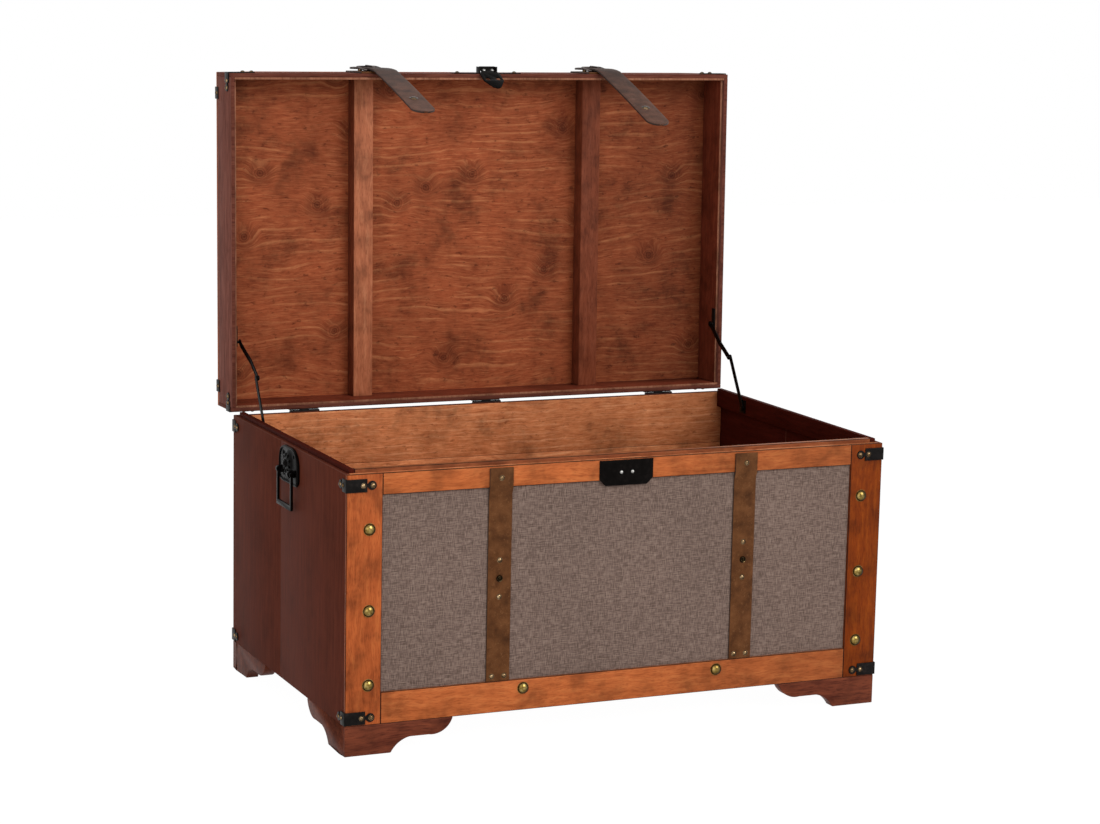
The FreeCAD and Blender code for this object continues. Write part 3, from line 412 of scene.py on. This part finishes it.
def blackIron(name, finish):
    # Pressed steel, blackened and lacquered: near black, soft broad highlights, greyer in patches
    material, tree, place = newMaterial(name)
    patches = addNode(tree, "TexNoise", {"Vector": place, "Scale": perMetre(finish["patchMm"]),
                                         "Detail": 4.0, "Roughness": 0.6})
    grit = addNode(tree, "TexNoise", {"Vector": place, "Scale": perMetre(finish["gritMm"])})
    tone = addNode(tree, "ValToRGB", {0: patches},
                   stops=[(0.35, finish["low"]), (0.55, finish["middle"]), (0.8, finish["high"])])
    shine = addNode(tree, "Math", {0: patches, 1: finish["patchRoughness"], 2: finish["roughness"]},
                    operation="MULTIPLY_ADD")
    shader = {"Base Color": tone, "Metallic": finish["metallic"], "Roughness": shine,
              "Specular IOR Level": finish["specular"]}
    finishMaterial(tree, shader, grit, bump=0.15, reliefMm=0.2)
    return material


def agedBrass(name, finish):
    # Plated heads in patchy tones, with painted shade: a dark brown that deepens where they curve away from
    # the view, leaving a painted highlight in the middle
    material, tree, place = newMaterial(name)
    mottleAndRimShade = addNode(tree, "TexNoise", {"Vector": place, "Scale": perMetre(finish["washMm"]), "Detail": 3.0})
    tone = addNode(tree, "ValToRGB", {0: mottleAndRimShade},
                   stops=[(0.35, finish["low"]), (0.5, finish["middle"]), (0.7, finish["high"])])
    # Painted shade: darker where the surface turns away from the view
    curve = addNode(tree, "LayerWeight", {"Blend": 0.5}, out="Facing")
    curve = addNode(tree, "ValToRGB", {0: curve}, stops=[(0.05, 0.0), (0.4, 0.94)])
    tone = addNode(tree, "Mix", {0: curve, 6: tone, 7: finish["mottleAndRimShade"]}, **mixing)
    shader = {"Base Color": tone, "Metallic": 1.0, "Roughness": finish["roughness"]}
    finishMaterial(tree, shader, mottleAndRimShade, bump=0.05, reliefMm=0.2)
    return material


def brightSteel(name, finish):
    # Zinc-plated rivet heads, left bright
    material, tree, place = newMaterial(name)
    scratches = addNode(tree, "TexNoise", {"Vector": place, "Scale": perMetre(finish["scratchMm"])})
    tone = addNode(tree, "ValToRGB", {0: scratches}, stops=[(0.35, finish["low"]), (0.6, finish["high"])])
    shader = {"Base Color": tone, "Metallic": 1.0, "Roughness": finish["roughness"]}
    finishMaterial(tree, shader, scratches, bump=0.06, reliefMm=0.2)
    return material


woods = {key: stainedWood(name, wood, along) for key, name, wood, along in (
    ("frameUpright", "stained pine, upright", frameWood, "z"),
    ("frameUprightDark", "stained pine, upright and dark", frameDarkWood, "z"),
    ("frameLevel", "stained pine, level", railWood, "x"),
    ("easedEdge", "stain in the joints and painted shade on eased edges", jointStainAndEdgeShadeWood, "x"),
    ("ledgePaintedLight", "stained pine, top faces, painted light", rimPaintedLightWood, "x"),
    ("lipFacePaintedShade", "stained pine, lip's face, painted shade", lipFacePaintedShadeWood, "x"),
    ("foot", "dark stained pine, feet", footWood, "x"),
    ("batten", "stained pine battens", battenWood, "z"),
    ("battenPaintedShade", "stained pine batten, painted shade", battenPaintedShadeWood, "z"),
    ("lining", "stained pine lining", liningWood, "z"),
    ("liningPaintedShade", "stained pine lining, painted shade", liningPaintedShadeWood, "z"),
    ("liningRim", "bare edge of the lining", liningRimWood, "z"),
    ("sideUpright", "dark stained plywood, upright", sideWood, "z"),
    ("sideLevel", "dark stained plywood, level", sideWood, "x"),
    ("sideEdge", "dark stained plywood, paler eased edge", sideEdgeWood, "z"),
    ("sideInsidePaintedShade", "dark stained plywood, inside, painted shade", sideInsidePaintedShadeWood, "y"),
    ("lidWall", "dark stained plywood, lid", lidWallWood, "z"),
    ("lidWallLevel", "dark stained plywood, lid's long walls", lidLongWood, "x"),
    ("lidRim", "dark stained plywood, lid's rim", lidRimWood, "x"))}
veneers = {key: rotaryVeneer("rotary-cut veneer, " + key, wood, across) for key, wood, across in (
    ("lid", panelWood, "Z"), ("carcass", backPaintedLightWood, "Z"), ("floor", backPaintedLightWood, "Y"))}
linen = linenWeave("coarse linen", linenCloth)
strapFace = strapLeather("strap leather", strapHide)
strapEdge = cutEdge("strap leather, cut edge", strapHide)
tongueFace = strapLeather("tongue leather", tongueHide)
tongueEdge = cutEdge("tongue leather, cut edge", tongueHide)
iron = blackIron("blackened steel", ironFinish)
bracketIron = blackIron("lacquered steel", bracketFinish)
buckleSteel = blackIron("buckle steel", buckleFinish)
brass = agedBrass("aged brass plate", nailFinish)
bronze = agedBrass("bronzed rivet steel", rivetFinish)
snapBronze = agedBrass("darkened snap brass", snapFinish)
zinc = brightSteel("bright rivet steel", zincFinish)
print("materials made")


# Pieces

merging = 0.002 * mm  # vertices nearer than this become one
easing = {"flat": 0.01, "sharp": 0.7}  # the angles, in radians, that are smoothed away and eased
facing = 0.7  # a face looks along an axis when that part of its normal is longer


def turned(*names):
    # Where something drawn with the lid closed lies at rest, after these joints
    place = Matrix()
    for name in names:
        joint = joints[name]
        angle = max(joint["range_deg"], key=abs)
        pivot = Matrix.Translation(joint["pos_m"])
        turn = Matrix.Rotation(math.radians(-angle), 4, Vector(joint["axis"]))
        place = pivot @ turn @ pivot.inverted() @ place
    return place


lidOpen = turned("lid_hinge")


def finished(mesh, name):
    # Turns a bmesh into a mesh, and frees it
    data = bpy.data.meshes.new(name)
    mesh.to_mesh(data)
    mesh.free()
    return data


def addShape(mesh, data, place=Matrix()):
    # Puts a finished shape in its place in a bmesh
    data.transform(place)
    mesh.from_mesh(data)
    bpy.data.meshes.remove(data)


def addPiece(name, mesh, materials, body, covers=(), place=None, smooth=40):
    # Makes a bmesh a finished piece that rides on a body
    if place is not None:
        bmesh.ops.transform(mesh, matrix=place, verts=mesh.verts)
    data = finished(mesh, name)
    for material in materials:
        data.materials.append(material)
    data.shade_smooth()
    data.set_sharp_from_angle(angle=math.radians(smooth))
    piece = bpy.data.objects.new(name, data)
    bpy.context.scene.collection.objects.link(piece)
    if body:
        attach(piece, body)
    if covers:
        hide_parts(*covers)
    return piece


def nodeCopy(name, place=None):
    # A node's mesh with its doubles merged, seen in the place that it was drawn in
    mesh = bmesh.new()
    mesh.from_mesh(nodes[name].data)
    bmesh.ops.remove_doubles(mesh, verts=mesh.verts, dist=merging)
    if place is not None:
        bmesh.ops.transform(mesh, matrix=place.inverted(), verts=mesh.verts)
    return mesh


def corners(verts):
    # The lowest and highest corner of what these vertices span
    return [Vector([pick(vert.co[i] for vert in verts) for i in range(3)]) for pick in (min, max)]


def closedBox(name, place):
    # The corners of a node, seen in the place that it was drawn in
    mesh = nodeCopy(name, place)
    box = corners(mesh.verts)
    mesh.free()
    return box


def solidBoxes(name, place=None):
    # The corners of each separate solid of a node
    mesh = nodeCopy(name, place)
    boxes, seen = [], set()
    for start in mesh.verts:
        if start in seen:
            continue
        island, edge = {start}, [start]
        while edge:
            near = {other for link in edge.pop().link_edges for other in link.verts} - island
            island |= near
            edge += near
        seen |= island
        boxes.append(corners(island))
    mesh.free()
    return boxes


def ease(name, width, materials, choose=None, place=None, segments=2, easedEdge=-1):
    # Stands for a node, with its sharp edges eased; choose gives each face its material
    # and easedEdge is the number of the eased edges' own material, where they have one
    mesh = nodeCopy(name, place)
    bmesh.ops.dissolve_limit(mesh, angle_limit=easing["flat"], verts=mesh.verts, edges=mesh.edges)
    sharp = [edge for edge in mesh.edges if edge.is_manifold and edge.calc_face_angle() > easing["sharp"]]
    mesh.normal_update()
    for face in mesh.faces:
        face.material_index = choose(face.normal, face.calc_center_median()) if choose else 0
    bmesh.ops.bevel(mesh, geom=sharp, offset=width * mm, offset_type="OFFSET", affect="EDGES",
                    segments=segments, profile=0.5, material=easedEdge, clamp_overlap=True)
    addPiece(name + "_eased", mesh, materials, nodes[name]["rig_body"], [name], place)


# Boards

eases = {"board": 0.8, "lining": 0.4, "foot": 1.0, "plate": 0.35, "strap": 0.7}


def easeBoards():
    board = eases["board"]
    for name, wood in (("front_stile_left", "frameUpright"), ("front_stile_right", "frameUprightDark"),
                       ("front_top_rail", "frameLevel"), ("front_bottom_rail", "frameLevel")):
        # Top faces get the paler copy, painted light; the eased edges get the joint stain with painted shade
        ease(name, board, [woods[wood], woods["ledgePaintedLight"], woods["easedEdge"]],
             lambda normal, centre: int(normal.z > facing), easedEdge=2)
    for end in ("left_front", "left_rear", "right_front", "right_rear"):
        inward = 1 if "left" in end else -1
        # Inner faces get the darker copy, painted shade; the eased edges a paler plywood
        ease("side_board_" + end, board, [woods["sideUpright"], woods["sideInsidePaintedShade"], woods["sideEdge"]],
             lambda normal, centre: int(normal.x * inward > facing), easedEdge=2)
    for name in ("back_board_lower", "back_board_upper"):
        ease(name, board, [woods["sideLevel"], veneers["carcass"]],
             lambda normal, centre: int(normal.y < -facing))
    for corner in ("front_left", "front_right", "rear_left", "rear_right"):
        ease("foot_" + corner, eases["foot"], [woods["foot"]])
    # The lip's top gets the paler copy, painted light, and its other faces the darker copy, painted shade;
    # its eased edges the joint stain with painted shade
    ease("lip_front", board, [woods["ledgePaintedLight"], woods["lipFacePaintedShade"], woods["easedEdge"]],
         lambda normal, centre: int(normal.z < facing), easedEdge=2)
    # The side lips wear the darker inside copy all over: painted shade
    ease("lip_sides", board, [woods["sideInsidePaintedShade"]])
    for side, wood in (("front", "lidWallLevel"), ("back", "lidWallLevel"), ("left", "lidWall"),
                       ("right", "lidWall")):
        ease("lid_%s_wall" % side, board, [woods[wood], woods["lidRim"]],
             lambda normal, centre: int(normal.z < -facing), place=lidOpen)
    # The left lining's inner face gets the darker copy: painted shade
    ease("lid_linings", eases["lining"], [woods["lining"], woods["liningRim"], woods["liningPaintedShade"]],
         lambda normal, centre: 1 if normal.z < -facing else 2 * int(normal.x > facing),
         place=lidOpen)
    # The right batten and the battens' side faces get the darker copy: painted shade
    ease("lid_battens", board, [woods["batten"], woods["battenPaintedShade"]],
         lambda normal, centre: int(centre.x > 0 or abs(normal.x) > facing), place=lidOpen)
    ease("lid_frame", board, [woods["frameLevel"]], place=lidOpen)


def dress(material, *names):
    # Gives nodes that are shown as they are their material
    for name in names:
        slots = nodes[name].data.materials
        slots.clear()
        slots.append(material)


easeBoards()
dress(veneers["carcass"], "front_panel")
dress(veneers["lid"], "lid_panel")
dress(veneers["floor"], "floor_panel", "base_blocks")
dress(linen, "front_linen", "lid_linen")
print("boards eased and dressed")

# Plates and stays

def easeIron():
    plate = eases["plate"]
    ease("corner_brackets", plate, [bracketIron])
    for name in ("stay_bases", "stay_lower_arm_left", "stay_lower_arm_right", "stay_upper_arm_left",
                 "stay_upper_arm_right"):
        ease(name, plate, [iron])
    for name in ("lid_corner_brackets", "stay_lid_brackets", "hinge_leaves_lid"):
        ease(name, plate, [bracketIron], place=lidOpen)
    dress(bracketIron, "hinge_leaves_carcass")
    ease("hasp_base", plate, [iron], place=lidOpen)
    ease("hasp_flap", plate, [iron], place=turned("lid_hinge", "hasp_hinge"))
    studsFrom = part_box("corner_brackets")[0].y - 0.1 * mm  # only the lock's studs stand further out
    ease("lock_plate", plate, [iron, zinc], choose=lambda normal, centre: int(centre.y < studsFrom))


easeIron()
print("ironwork eased")


def lathe(points, steps):
    # A turned shape about Z from (radius, height) points in millimetres
    mesh = bmesh.new()
    verts = [mesh.verts.new((radius * mm, 0, height * mm)) for radius, height in points]
    edges = [mesh.edges.new(pair) for pair in zip(verts, verts[1:])]
    bmesh.ops.spin(mesh, geom=verts + edges, cent=(0, 0, 0), axis=(0, 0, 1), angle=2 * math.pi,
                   steps=steps, use_merge=True, use_duplicate=False)
    bmesh.ops.remove_doubles(mesh, verts=mesh.verts, dist=merging)
    bmesh.ops.recalc_face_normals(mesh, faces=mesh.faces)
    return finished(mesh, "turned")


def domePoints(radius, height, lip, rings):
    # A dome that ends in a thin flat lip, like a struck nail head
    inner = radius - lip
    points = [(0, height)]
    for i in range(1, rings):
        turn = math.pi / 2 * i / rings
        points.append((inner * math.sin(turn), lip * 0.5 + (height - lip * 0.5) * math.cos(turn)))
    return points + [(inner, lip * 0.6), (radius, lip * 0.5), (radius, 0), (0, 0)]  # the lip, then the foot


def studPlace(low, high):
    # The foot of a stud on an outer face, its Z axis pointing out, and its radius and height
    size, middle = high - low, (low + high) / 2
    thin = min(range(3), key=lambda i: size[i])
    out = Vector((0, 0, 0))
    out[thin] = 1 if thin == 2 or middle[thin] > 0 else -1
    foot = middle - out * size[thin] / 2
    turn = out.to_track_quat("Z", "Y").to_matrix().to_4x4()
    return Matrix.Translation(foot) @ turn, sorted(size)[1] / 2, size[thin]


nailHead = {"lip": 0.5, "rings": 6, "steps": 28}
rivetHead = {"lip": 0.4, "rings": 6, "steps": 20, "snapFrom": 4.3,
             "snap": [(0, 2.4), (1.2, 2.3), (1.6, 1.7), (1.7, 0.4), (2.9, 0.4), (3.2, 1.7), (3.9, 2.0),
                      (4.5, 1.2), (4.6, 0), (0, 0)]}


def studs(name, source, body, materials, head, place=None):
    # Struck heads on the places of a node's small round solids; the wide ones are snap studs
    mesh = bmesh.new()
    for low, high in solidBoxes(source, place):
        foot, radius, height = studPlace(low, high)
        snap = "snap" in head and radius / mm > head["snapFrom"]
        dome = domePoints(radius / mm, height / mm, head["lip"], head["rings"])
        data = lathe(head["snap"] if snap else dome, head["steps"])
        for face in data.polygons:
            face.material_index = int(snap)
        addShape(mesh, data, foot)
    addPiece(name, mesh, materials, body, [source], place, smooth=50)


studs("front_nails", "dome_nails_front", "carcass", [brass], nailHead)
studs("lid_nails", "lid_dome_nails", "lid", [brass], nailHead, lidOpen)
studs("carcass_rivet_heads", "carcass_rivets", "carcass", [bronze, snapBronze], rivetHead)
print("nails and rivets struck")

# Straps

# A strap's cut edges, and on the back tabs the ends too
for name in ("strap_front_left", "strap_front_right", "strap_tabs_back", "lid_straps"):
    ease(name, eases["strap"], [strapFace, strapEdge],
         lambda normal, centre: int(abs(normal.y) < facing if "back" in name else abs(normal.x) > facing),
         place=lidOpen if "lid" in name else None)

tongueStrap = {"thickness": 2.5, "across": 8, "rootRows": 6, "bendRows": 7, "tongueRows": 22,
               "tipRows": 8, "rootRound": 14.0, "bendAbove": 7.0, "bendBelow": 12.0, "arch": 1.0,
               "edge": 0.6, "edgeDegrees": 50, "crown": 0.5, "narrowest": 0.03}


def shareOfWidth(distance, half, rise):
    # How wide a round end is at a distance from its point, as a share of the full width
    radius = (half ** 2 + rise ** 2) / (2 * rise)
    return math.sqrt(max(radius ** 2 - (radius - distance) ** 2, 0)) / half


def row(x, y, z, share=1.0):
    # The place of one row of the strap, at a share of its full width
    share = max(share, tongueStrap["narrowest"])
    return Matrix.Translation((x, y, z)) @ Matrix.Diagonal((share, 1, 1, 1))


def bentRows(start, end, count, reach):
    # Rows that turn smoothly from one row's place to another's
    control = (start @ Vector((0, 0, -reach)) + end @ Vector((0, 0, reach))) / 2
    rows = []
    for i in range(1, count):
        t = i / count
        middle = start.translation.lerp(control, t).lerp(control.lerp(end.translation, t), t)
        turn = start.to_quaternion().slerp(end.to_quaternion(), t)
        rows.append(Matrix.Translation(middle) @ turn.to_matrix().to_4x4())
    return rows


def sweepStrap(rows, width, across, crown):
    # Carries a line of points through the rows, and so makes the strap's sheet
    mesh = bmesh.new()
    line = []
    for i in range(across + 1):
        part = i / across - 0.5
        line.append(mesh.verts.new((width * part, -crown * mm * (1 - 4 * part * part), 0)))
    edges = [mesh.edges.new(pair) for pair in zip(line, line[1:])]
    bmesh.ops.transform(mesh, matrix=rows[0], verts=line)
    for before, after in zip(rows, rows[1:]):
        made = bmesh.ops.extrude_edge_only(mesh, edges=edges)["geom"]
        line = [item for item in made if isinstance(item, bmesh.types.BMVert)]
        edges = [item for item in made if isinstance(item, bmesh.types.BMEdge)
                 and all(vert in line for vert in item.verts)]
        bmesh.ops.transform(mesh, matrix=after @ before.inverted(), verts=line)
    return mesh


def settle(piece):
    # Applies the piece's modifiers to its mesh
    shape = piece.evaluated_get(bpy.context.evaluated_depsgraph_get())
    data = bpy.data.meshes.new_from_object(shape)
    piece.modifiers.clear()
    piece.data = data


def tongueAndRoot(name, settings):
    # One piece of leather: the root on its rivet, the bend, and the tongue that hangs from it
    rootPlace = turned("lid_hinge", "buckle_swivel_" + name)
    tonguePlace = turned("lid_hinge", "buckle_swivel_" + name, "tongue_fold_" + name)
    rootLow, rootHigh = closedBox("strap_root_" + name, rootPlace)
    tongueLow, tongueHigh = closedBox("strap_tongue_" + name, tonguePlace)
    x, y = (rootLow.x + rootHigh.x) / 2, (rootLow.y + rootHigh.y) / 2
    width = rootHigh.x - rootLow.x
    half, topRise = width / 2, settings["rootRound"] * mm
    rows = []
    for i in range(settings["rootRows"]):
        distance = topRise * (1 - math.cos(math.pi / 2 * i / settings["rootRows"]))
        rows.append(rootPlace @ row(x, y, rootHigh.z - distance, shareOfWidth(distance, half, topRise)))
    rows.append(rootPlace @ row(x, y, rootHigh.z - topRise))
    bendTop = rootPlace @ row(x, y, rootLow.z + settings["bendAbove"] * mm)
    bendEnd = tonguePlace @ row(x, y, tongueHigh.z - settings["bendBelow"] * mm)
    rows += [bendTop] + bentRows(bendTop, bendEnd, settings["bendRows"], settings["bendAbove"] * mm)
    start, end = tongueHigh.z - settings["bendBelow"] * mm, tongueLow.z + half
    for i in range(settings["tongueRows"] + 1):
        t = i / settings["tongueRows"]
        arch = settings["arch"] * mm * math.sin(math.pi * t)
        rows.append(tonguePlace @ row(x, y - arch, start + (end - start) * t))
    for i in range(1, settings["tipRows"] + 1):
        distance = half * (1 - math.sin(math.pi / 2 * i / settings["tipRows"]))
        rows.append(tonguePlace @ row(x, y, tongueLow.z + distance, shareOfWidth(distance, half, half)))
    mesh = sweepStrap(rows, width, settings["across"], settings["crown"])
    bmesh.ops.recalc_face_normals(mesh, faces=mesh.faces)
    covers = ["strap_root_" + name, "strap_tongue_" + name]
    piece = addPiece("buckle_strap_" + name, mesh, [tongueFace, tongueEdge], None, covers)
    thick = piece.modifiers.new("thickness", "SOLIDIFY")
    thick.thickness, thick.offset = settings["thickness"] * mm, 0
    thick.use_even_offset, thick.material_offset_rim = True, 1
    worn = piece.modifiers.new("worn edge", "BEVEL")
    worn.width, worn.segments, worn.limit_method = settings["edge"] * mm, 2, "ANGLE"
    worn.angle_limit = math.radians(settings["edgeDegrees"])
    settle(piece)
    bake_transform(piece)
    print("strap", name, "laid")
    return tonguePlace, rootPlace, x, y


buckleWire = {"radius": 1.55, "corner": 5.0, "prongRadius": 1.2, "prongCorner": 3.0, "prongOut": 3.2,
              "prongRise": 5.0, "prongBend": 4.0}


def softRoute(points, radius, steps=5, closed=False):
    # The points of a bent bar, with each corner rounded
    count = len(points)
    route = []
    for i, point in enumerate(points):
        before, after = points[i - 1], points[(i + 1) % count]
        if not closed and i in (0, count - 1):
            route.append(point)
            continue
        into = point + (before - point).normalized() * min(radius, (before - point).length / 2)
        out = point + (after - point).normalized() * min(radius, (after - point).length / 2)
        for j in range(steps + 1):
            t = j / steps
            route.append(into.lerp(point, t).lerp(point.lerp(out, t), t))
    return route


def bentBar(points, radius, closed=False):
    # A round bar bent along a route
    curve = bpy.data.curves.new("wire", "CURVE")
    curve.dimensions, curve.bevel_depth, curve.bevel_resolution = "3D", radius * mm, 3
    curve.use_fill_caps = True
    spline = curve.splines.new("POLY")
    spline.points.add(len(points) - 1)
    for target, point in zip(spline.points, points):
        target.co = (*point, 1)
    spline.use_cyclic_u = closed
    holder = bpy.data.objects.new("wire", curve)
    mesh = bmesh.new()
    addShape(mesh, bpy.data.meshes.new_from_object(holder))
    bpy.data.objects.remove(holder)
    bpy.data.curves.remove(curve)
    bmesh.ops.remove_doubles(mesh, verts=mesh.verts, dist=merging)
    bmesh.ops.recalc_face_normals(mesh, faces=mesh.faces)
    return finished(mesh, "bar")


def roundBuckle(name, rootPlace, rootY, settings):
    # A wire loop whose lower bar lies behind the leather, and the prong that pins it
    low, high = closedBox("buckle_" + name, rootPlace)
    r, thin = settings["radius"] * mm, settings["prongRadius"] * mm
    left, right, middle = low.x + r, high.x - r, (low.x + high.x) / 2
    back, front, bottom, top = high.y - r, low.y + r + thin, low.z + r, high.z - r
    loop = [Vector(point) for point in ((left, back, bottom), (right, back, bottom), (right, front, top),
                                        (left, front, top))]
    prong = [Vector(point) for point in (
        (middle, back, bottom),
        (middle, rootY - settings["prongOut"] * mm, bottom + settings["prongRise"] * mm),
        (middle, low.y + thin, top - settings["prongBend"] * mm), (middle, low.y + thin, high.z - thin))]
    mesh = bmesh.new()
    route = softRoute(loop, settings["corner"] * mm, steps=6, closed=True)
    addShape(mesh, bentBar(route, settings["radius"], closed=True))
    addShape(mesh, bentBar(softRoute(prong, settings["prongCorner"] * mm), settings["prongRadius"]))
    addPiece("buckle_wire_" + name, mesh, [buckleSteel], "buckle_end_" + name, ["buckle_" + name],
             place=rootPlace)


snapCap = {"points": [(0, 2.2), (2.4, 2.1), (3.8, 1.5), (4.3, 0.7), (5.0, 1.2), (6.2, 0.9), (6.6, 0.0),
                      (0, 0)],
           "height": 225.0, "steps": 28, "archShare": 0.66}
forward = Matrix.Rotation(math.pi / 2, 4, "X")  # turns a lathe's axis to point out of the front


def placeSnapCap(name, tonguePlace, x, y, settings, strap):
    # On the leather's outer face, which bows out with the tongue
    face = y - (strap["thickness"] / 2 + strap["arch"] * settings["archShare"]) * mm
    mesh = bmesh.new()
    addShape(mesh, lathe(settings["points"], settings["steps"]),
             Matrix.Translation((x, face, settings["height"] * mm)) @ forward)
    addPiece("snap_cap_" + name, mesh, [bronze], "tongue_" + name, place=tonguePlace, smooth=60)


for sideName in ("left", "right"):
    tonguePlace, rootPlace, strapX, strapY = tongueAndRoot(sideName, tongueStrap)
    roundBuckle(sideName, rootPlace, strapY, buckleWire)
    placeSnapCap(sideName, tonguePlace, strapX, strapY, snapCap, tongueStrap)
dress(bronze, "lid_fasteners")

handle = {"plateThickness": 3.0, "rimInset": 2.0, "rimRadius": 1.2, "topRound": 24.0,
          "bottomRound": 12.0, "roundSteps": 8, "bossRadius": 19.0, "bossHeight": 5.0, "bossDrop": 22.5,
          "petals": 9, "petalReach": 10.5, "petalSink": 0.4, "petalLength": 1.7,
          "petal": {"radius": 2.6, "height": 1.6, "lip": 0.3, "rings": 5}, "petalSteps": 14,
          "knob": [(0, 3.0), (2.6, 2.5), (3.8, 1.2), (4.4, 1.6), (5.4, 1.0), (5.8, -0.6), (0, -0.6)],
          "knobSteps": 24, "bailEase": 0.9}


def bossRise(distance, settings):
    # How far the boss stands off the plate at a distance from its middle
    ball = (settings["bossRadius"] ** 2 + settings["bossHeight"] ** 2) / (2 * settings["bossHeight"])
    return math.sqrt(ball ** 2 - distance ** 2) - (ball - settings["bossHeight"])


def dressHandle(name, side, settings):
    # The plate and its bail eased, with the plate's raised rim and the rosette cast on its boss
    ease("handle_plate_" + name, eases["plate"], [iron])
    ease("handle_bail_" + name, settings["bailEase"], [iron], segments=3)
    low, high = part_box("handle_plate_" + name)
    face = (low.x if side > 0 else high.x) + side * settings["plateThickness"] * mm
    inset = settings["rimInset"] * mm
    bottom, top = low.z + inset, high.z - inset
    bends = [Vector((face, y, z)) for y, z in ((low.y + inset, bottom), (high.y - inset, bottom),
                                               (high.y - inset, top), (low.y + inset, top))]
    route = []
    for i, bend in enumerate(bends):
        reach = settings["bottomRound"] if i < 2 else settings["topRound"]
        ends = [bends[i - 1], bend, bends[(i + 1) % 4]]
        route += softRoute(ends, reach * mm, settings["roundSteps"])[1:-1]
    mesh = bmesh.new()
    addShape(mesh, bentBar(route, settings["rimRadius"], closed=True))
    centre = Vector((face, (low.y + high.y) / 2, high.z - settings["bossDrop"] * mm))
    outward = Matrix.Rotation(side * math.pi / 2, 4, "Y")
    rise = Vector((side * bossRise(0, settings) * mm, 0, 0))
    addShape(mesh, lathe(settings["knob"], settings["knobSteps"]),
             Matrix.Translation(centre + rise) @ outward)
    reach = settings["petalReach"]
    rise = Vector((side * (bossRise(reach, settings) - settings["petalSink"]) * mm, 0, 0))
    longer = Matrix.Diagonal((1, settings["petalLength"], 1, 1))
    for i in range(settings["petals"]):
        spoke = (Matrix.Rotation(2 * math.pi * i / settings["petals"], 4, "X")
                 @ Matrix.Translation((0, reach * mm, 0)))
        addShape(mesh, lathe(domePoints(**settings["petal"]), settings["petalSteps"]),
                 Matrix.Translation(centre + rise) @ spoke @ outward @ longer)
    addPiece("handle_relief_" + name, mesh, [iron], "carcass")


for sideName, side in (("left", -1), ("right", 1)):
    dressHandle(sideName, side, handle)

haspRivets = {"x": 6.5, "below": 9.0, "sink": 0.75, "steps": 16,
              "head": {"radius": 2.6, "height": 1.6, "lip": 0.3, "rings": 5}}


def placeHaspRivets(settings):
    # Two rivets that hold the flap's barrel
    place = turned("lid_hinge", "hasp_hinge")
    low, high = closedBox("hasp_flap", place)
    face = (low.y + high.y) / 2 - settings["sink"] * mm
    mesh = bmesh.new()
    for x in (-settings["x"], settings["x"]):
        foot = Matrix.Translation((x * mm, face, high.z - settings["below"] * mm))
        addShape(mesh, lathe(domePoints(**settings["head"]), settings["steps"]), foot @ forward)
    addPiece("hasp_rivets", mesh, [zinc], "hasp", place=place)


placeHaspRivets(haspRivets)
print("straps, buckles, caps and handles made")

# Floor, backdrop and light

studio = {"floorSize": 14.0, "floorDrop": 0.0005, "cloudSize": 4.7, "floorColour": "#F7F6F4",
          "cloudColour": "#FFFFFF", "shadow": 0.06, "floorGlow": 1.05, "skyStrength": 0.5,
          "aim": (0, 0, 0.35),  # metres, and watts for the lamps
          "lamps": {"key": {"place": (1.3, -3.6, 2.8), "power": 114.0, "size": 2.6},
                    "fill": {"place": (-2.6, -3.0, 1.6), "power": 27.0, "size": 3.0}}}


def cameraRays(tree):
    # What the camera sees, straight or mirrored in metal
    seen = addNode(tree, "LightPath", out=None)
    return addNode(tree, "Math", {0: seen["Is Camera Ray"], 1: seen["Is Glossy Ray"]}, operation="MAXIMUM")


def makeFloor(settings):
    # Pale paper that shows white to the camera and keeps a faint shadow
    material, tree, place = newMaterial("studio paper")
    clouds = addNode(tree, "TexNoise", {"Vector": place, "Scale": 1 / settings["cloudSize"]})
    tone = addNode(tree, "Mix", {0: clouds, 6: settings["floorColour"], 7: settings["cloudColour"]},
                   **mixing)
    paper = addNode(tree, "BsdfDiffuse", {"Color": tone})
    white = addNode(tree, "Emission", {"Strength": settings["floorGlow"]})
    share = addNode(tree, "Math", {0: cameraRays(tree), 1: 1 - settings["shadow"]}, operation="MULTIPLY")
    mixed = addNode(tree, "MixShader", {0: share, 1: paper, 2: white})
    addNode(tree, "OutputMaterial", {"Surface": mixed}, out=None)
    mesh = bmesh.new()
    bmesh.ops.create_grid(mesh, x_segments=1, y_segments=1, size=settings["floorSize"] / 2)
    bmesh.ops.translate(mesh, vec=(0, 0, -settings["floorDrop"]), verts=mesh.verts)
    data = finished(mesh, "floor")
    data.materials.append(material)
    floor = bpy.data.objects.new("floor", data)
    bpy.context.scene.collection.objects.link(floor)


def makeWorld(settings):
    # White where the camera sees it, and softer as light
    world = bpy.data.worlds.new("studio")
    world.use_nodes = True
    bpy.context.scene.world = world
    tree = world.node_tree
    tree.nodes.clear()
    soft = addNode(tree, "Background", {"Color": (1, 1, 1, 1), "Strength": settings["skyStrength"]})
    white = addNode(tree, "Background", {"Color": (1, 1, 1, 1)})
    mixed = addNode(tree, "MixShader", {0: cameraRays(tree), 1: soft, 2: white})
    addNode(tree, "OutputWorld", {"Surface": mixed}, out=None)


def makeLamps(settings):
    for name, kept in settings["lamps"].items():
        lamp = bpy.data.lights.new(name, "AREA")
        lamp.energy, lamp.size = kept["power"], kept["size"]
        holder = bpy.data.objects.new(name, lamp)
        bpy.context.scene.collection.objects.link(holder)
        aim = Vector(settings["aim"]) - Vector(kept["place"])
        turn = aim.to_track_quat("-Z", "Y").to_matrix().to_4x4()
        holder.matrix_world = Matrix.Translation(kept["place"]) @ turn


makeFloor(studio)
makeWorld(studio)
makeLamps(studio)
print("studio made")
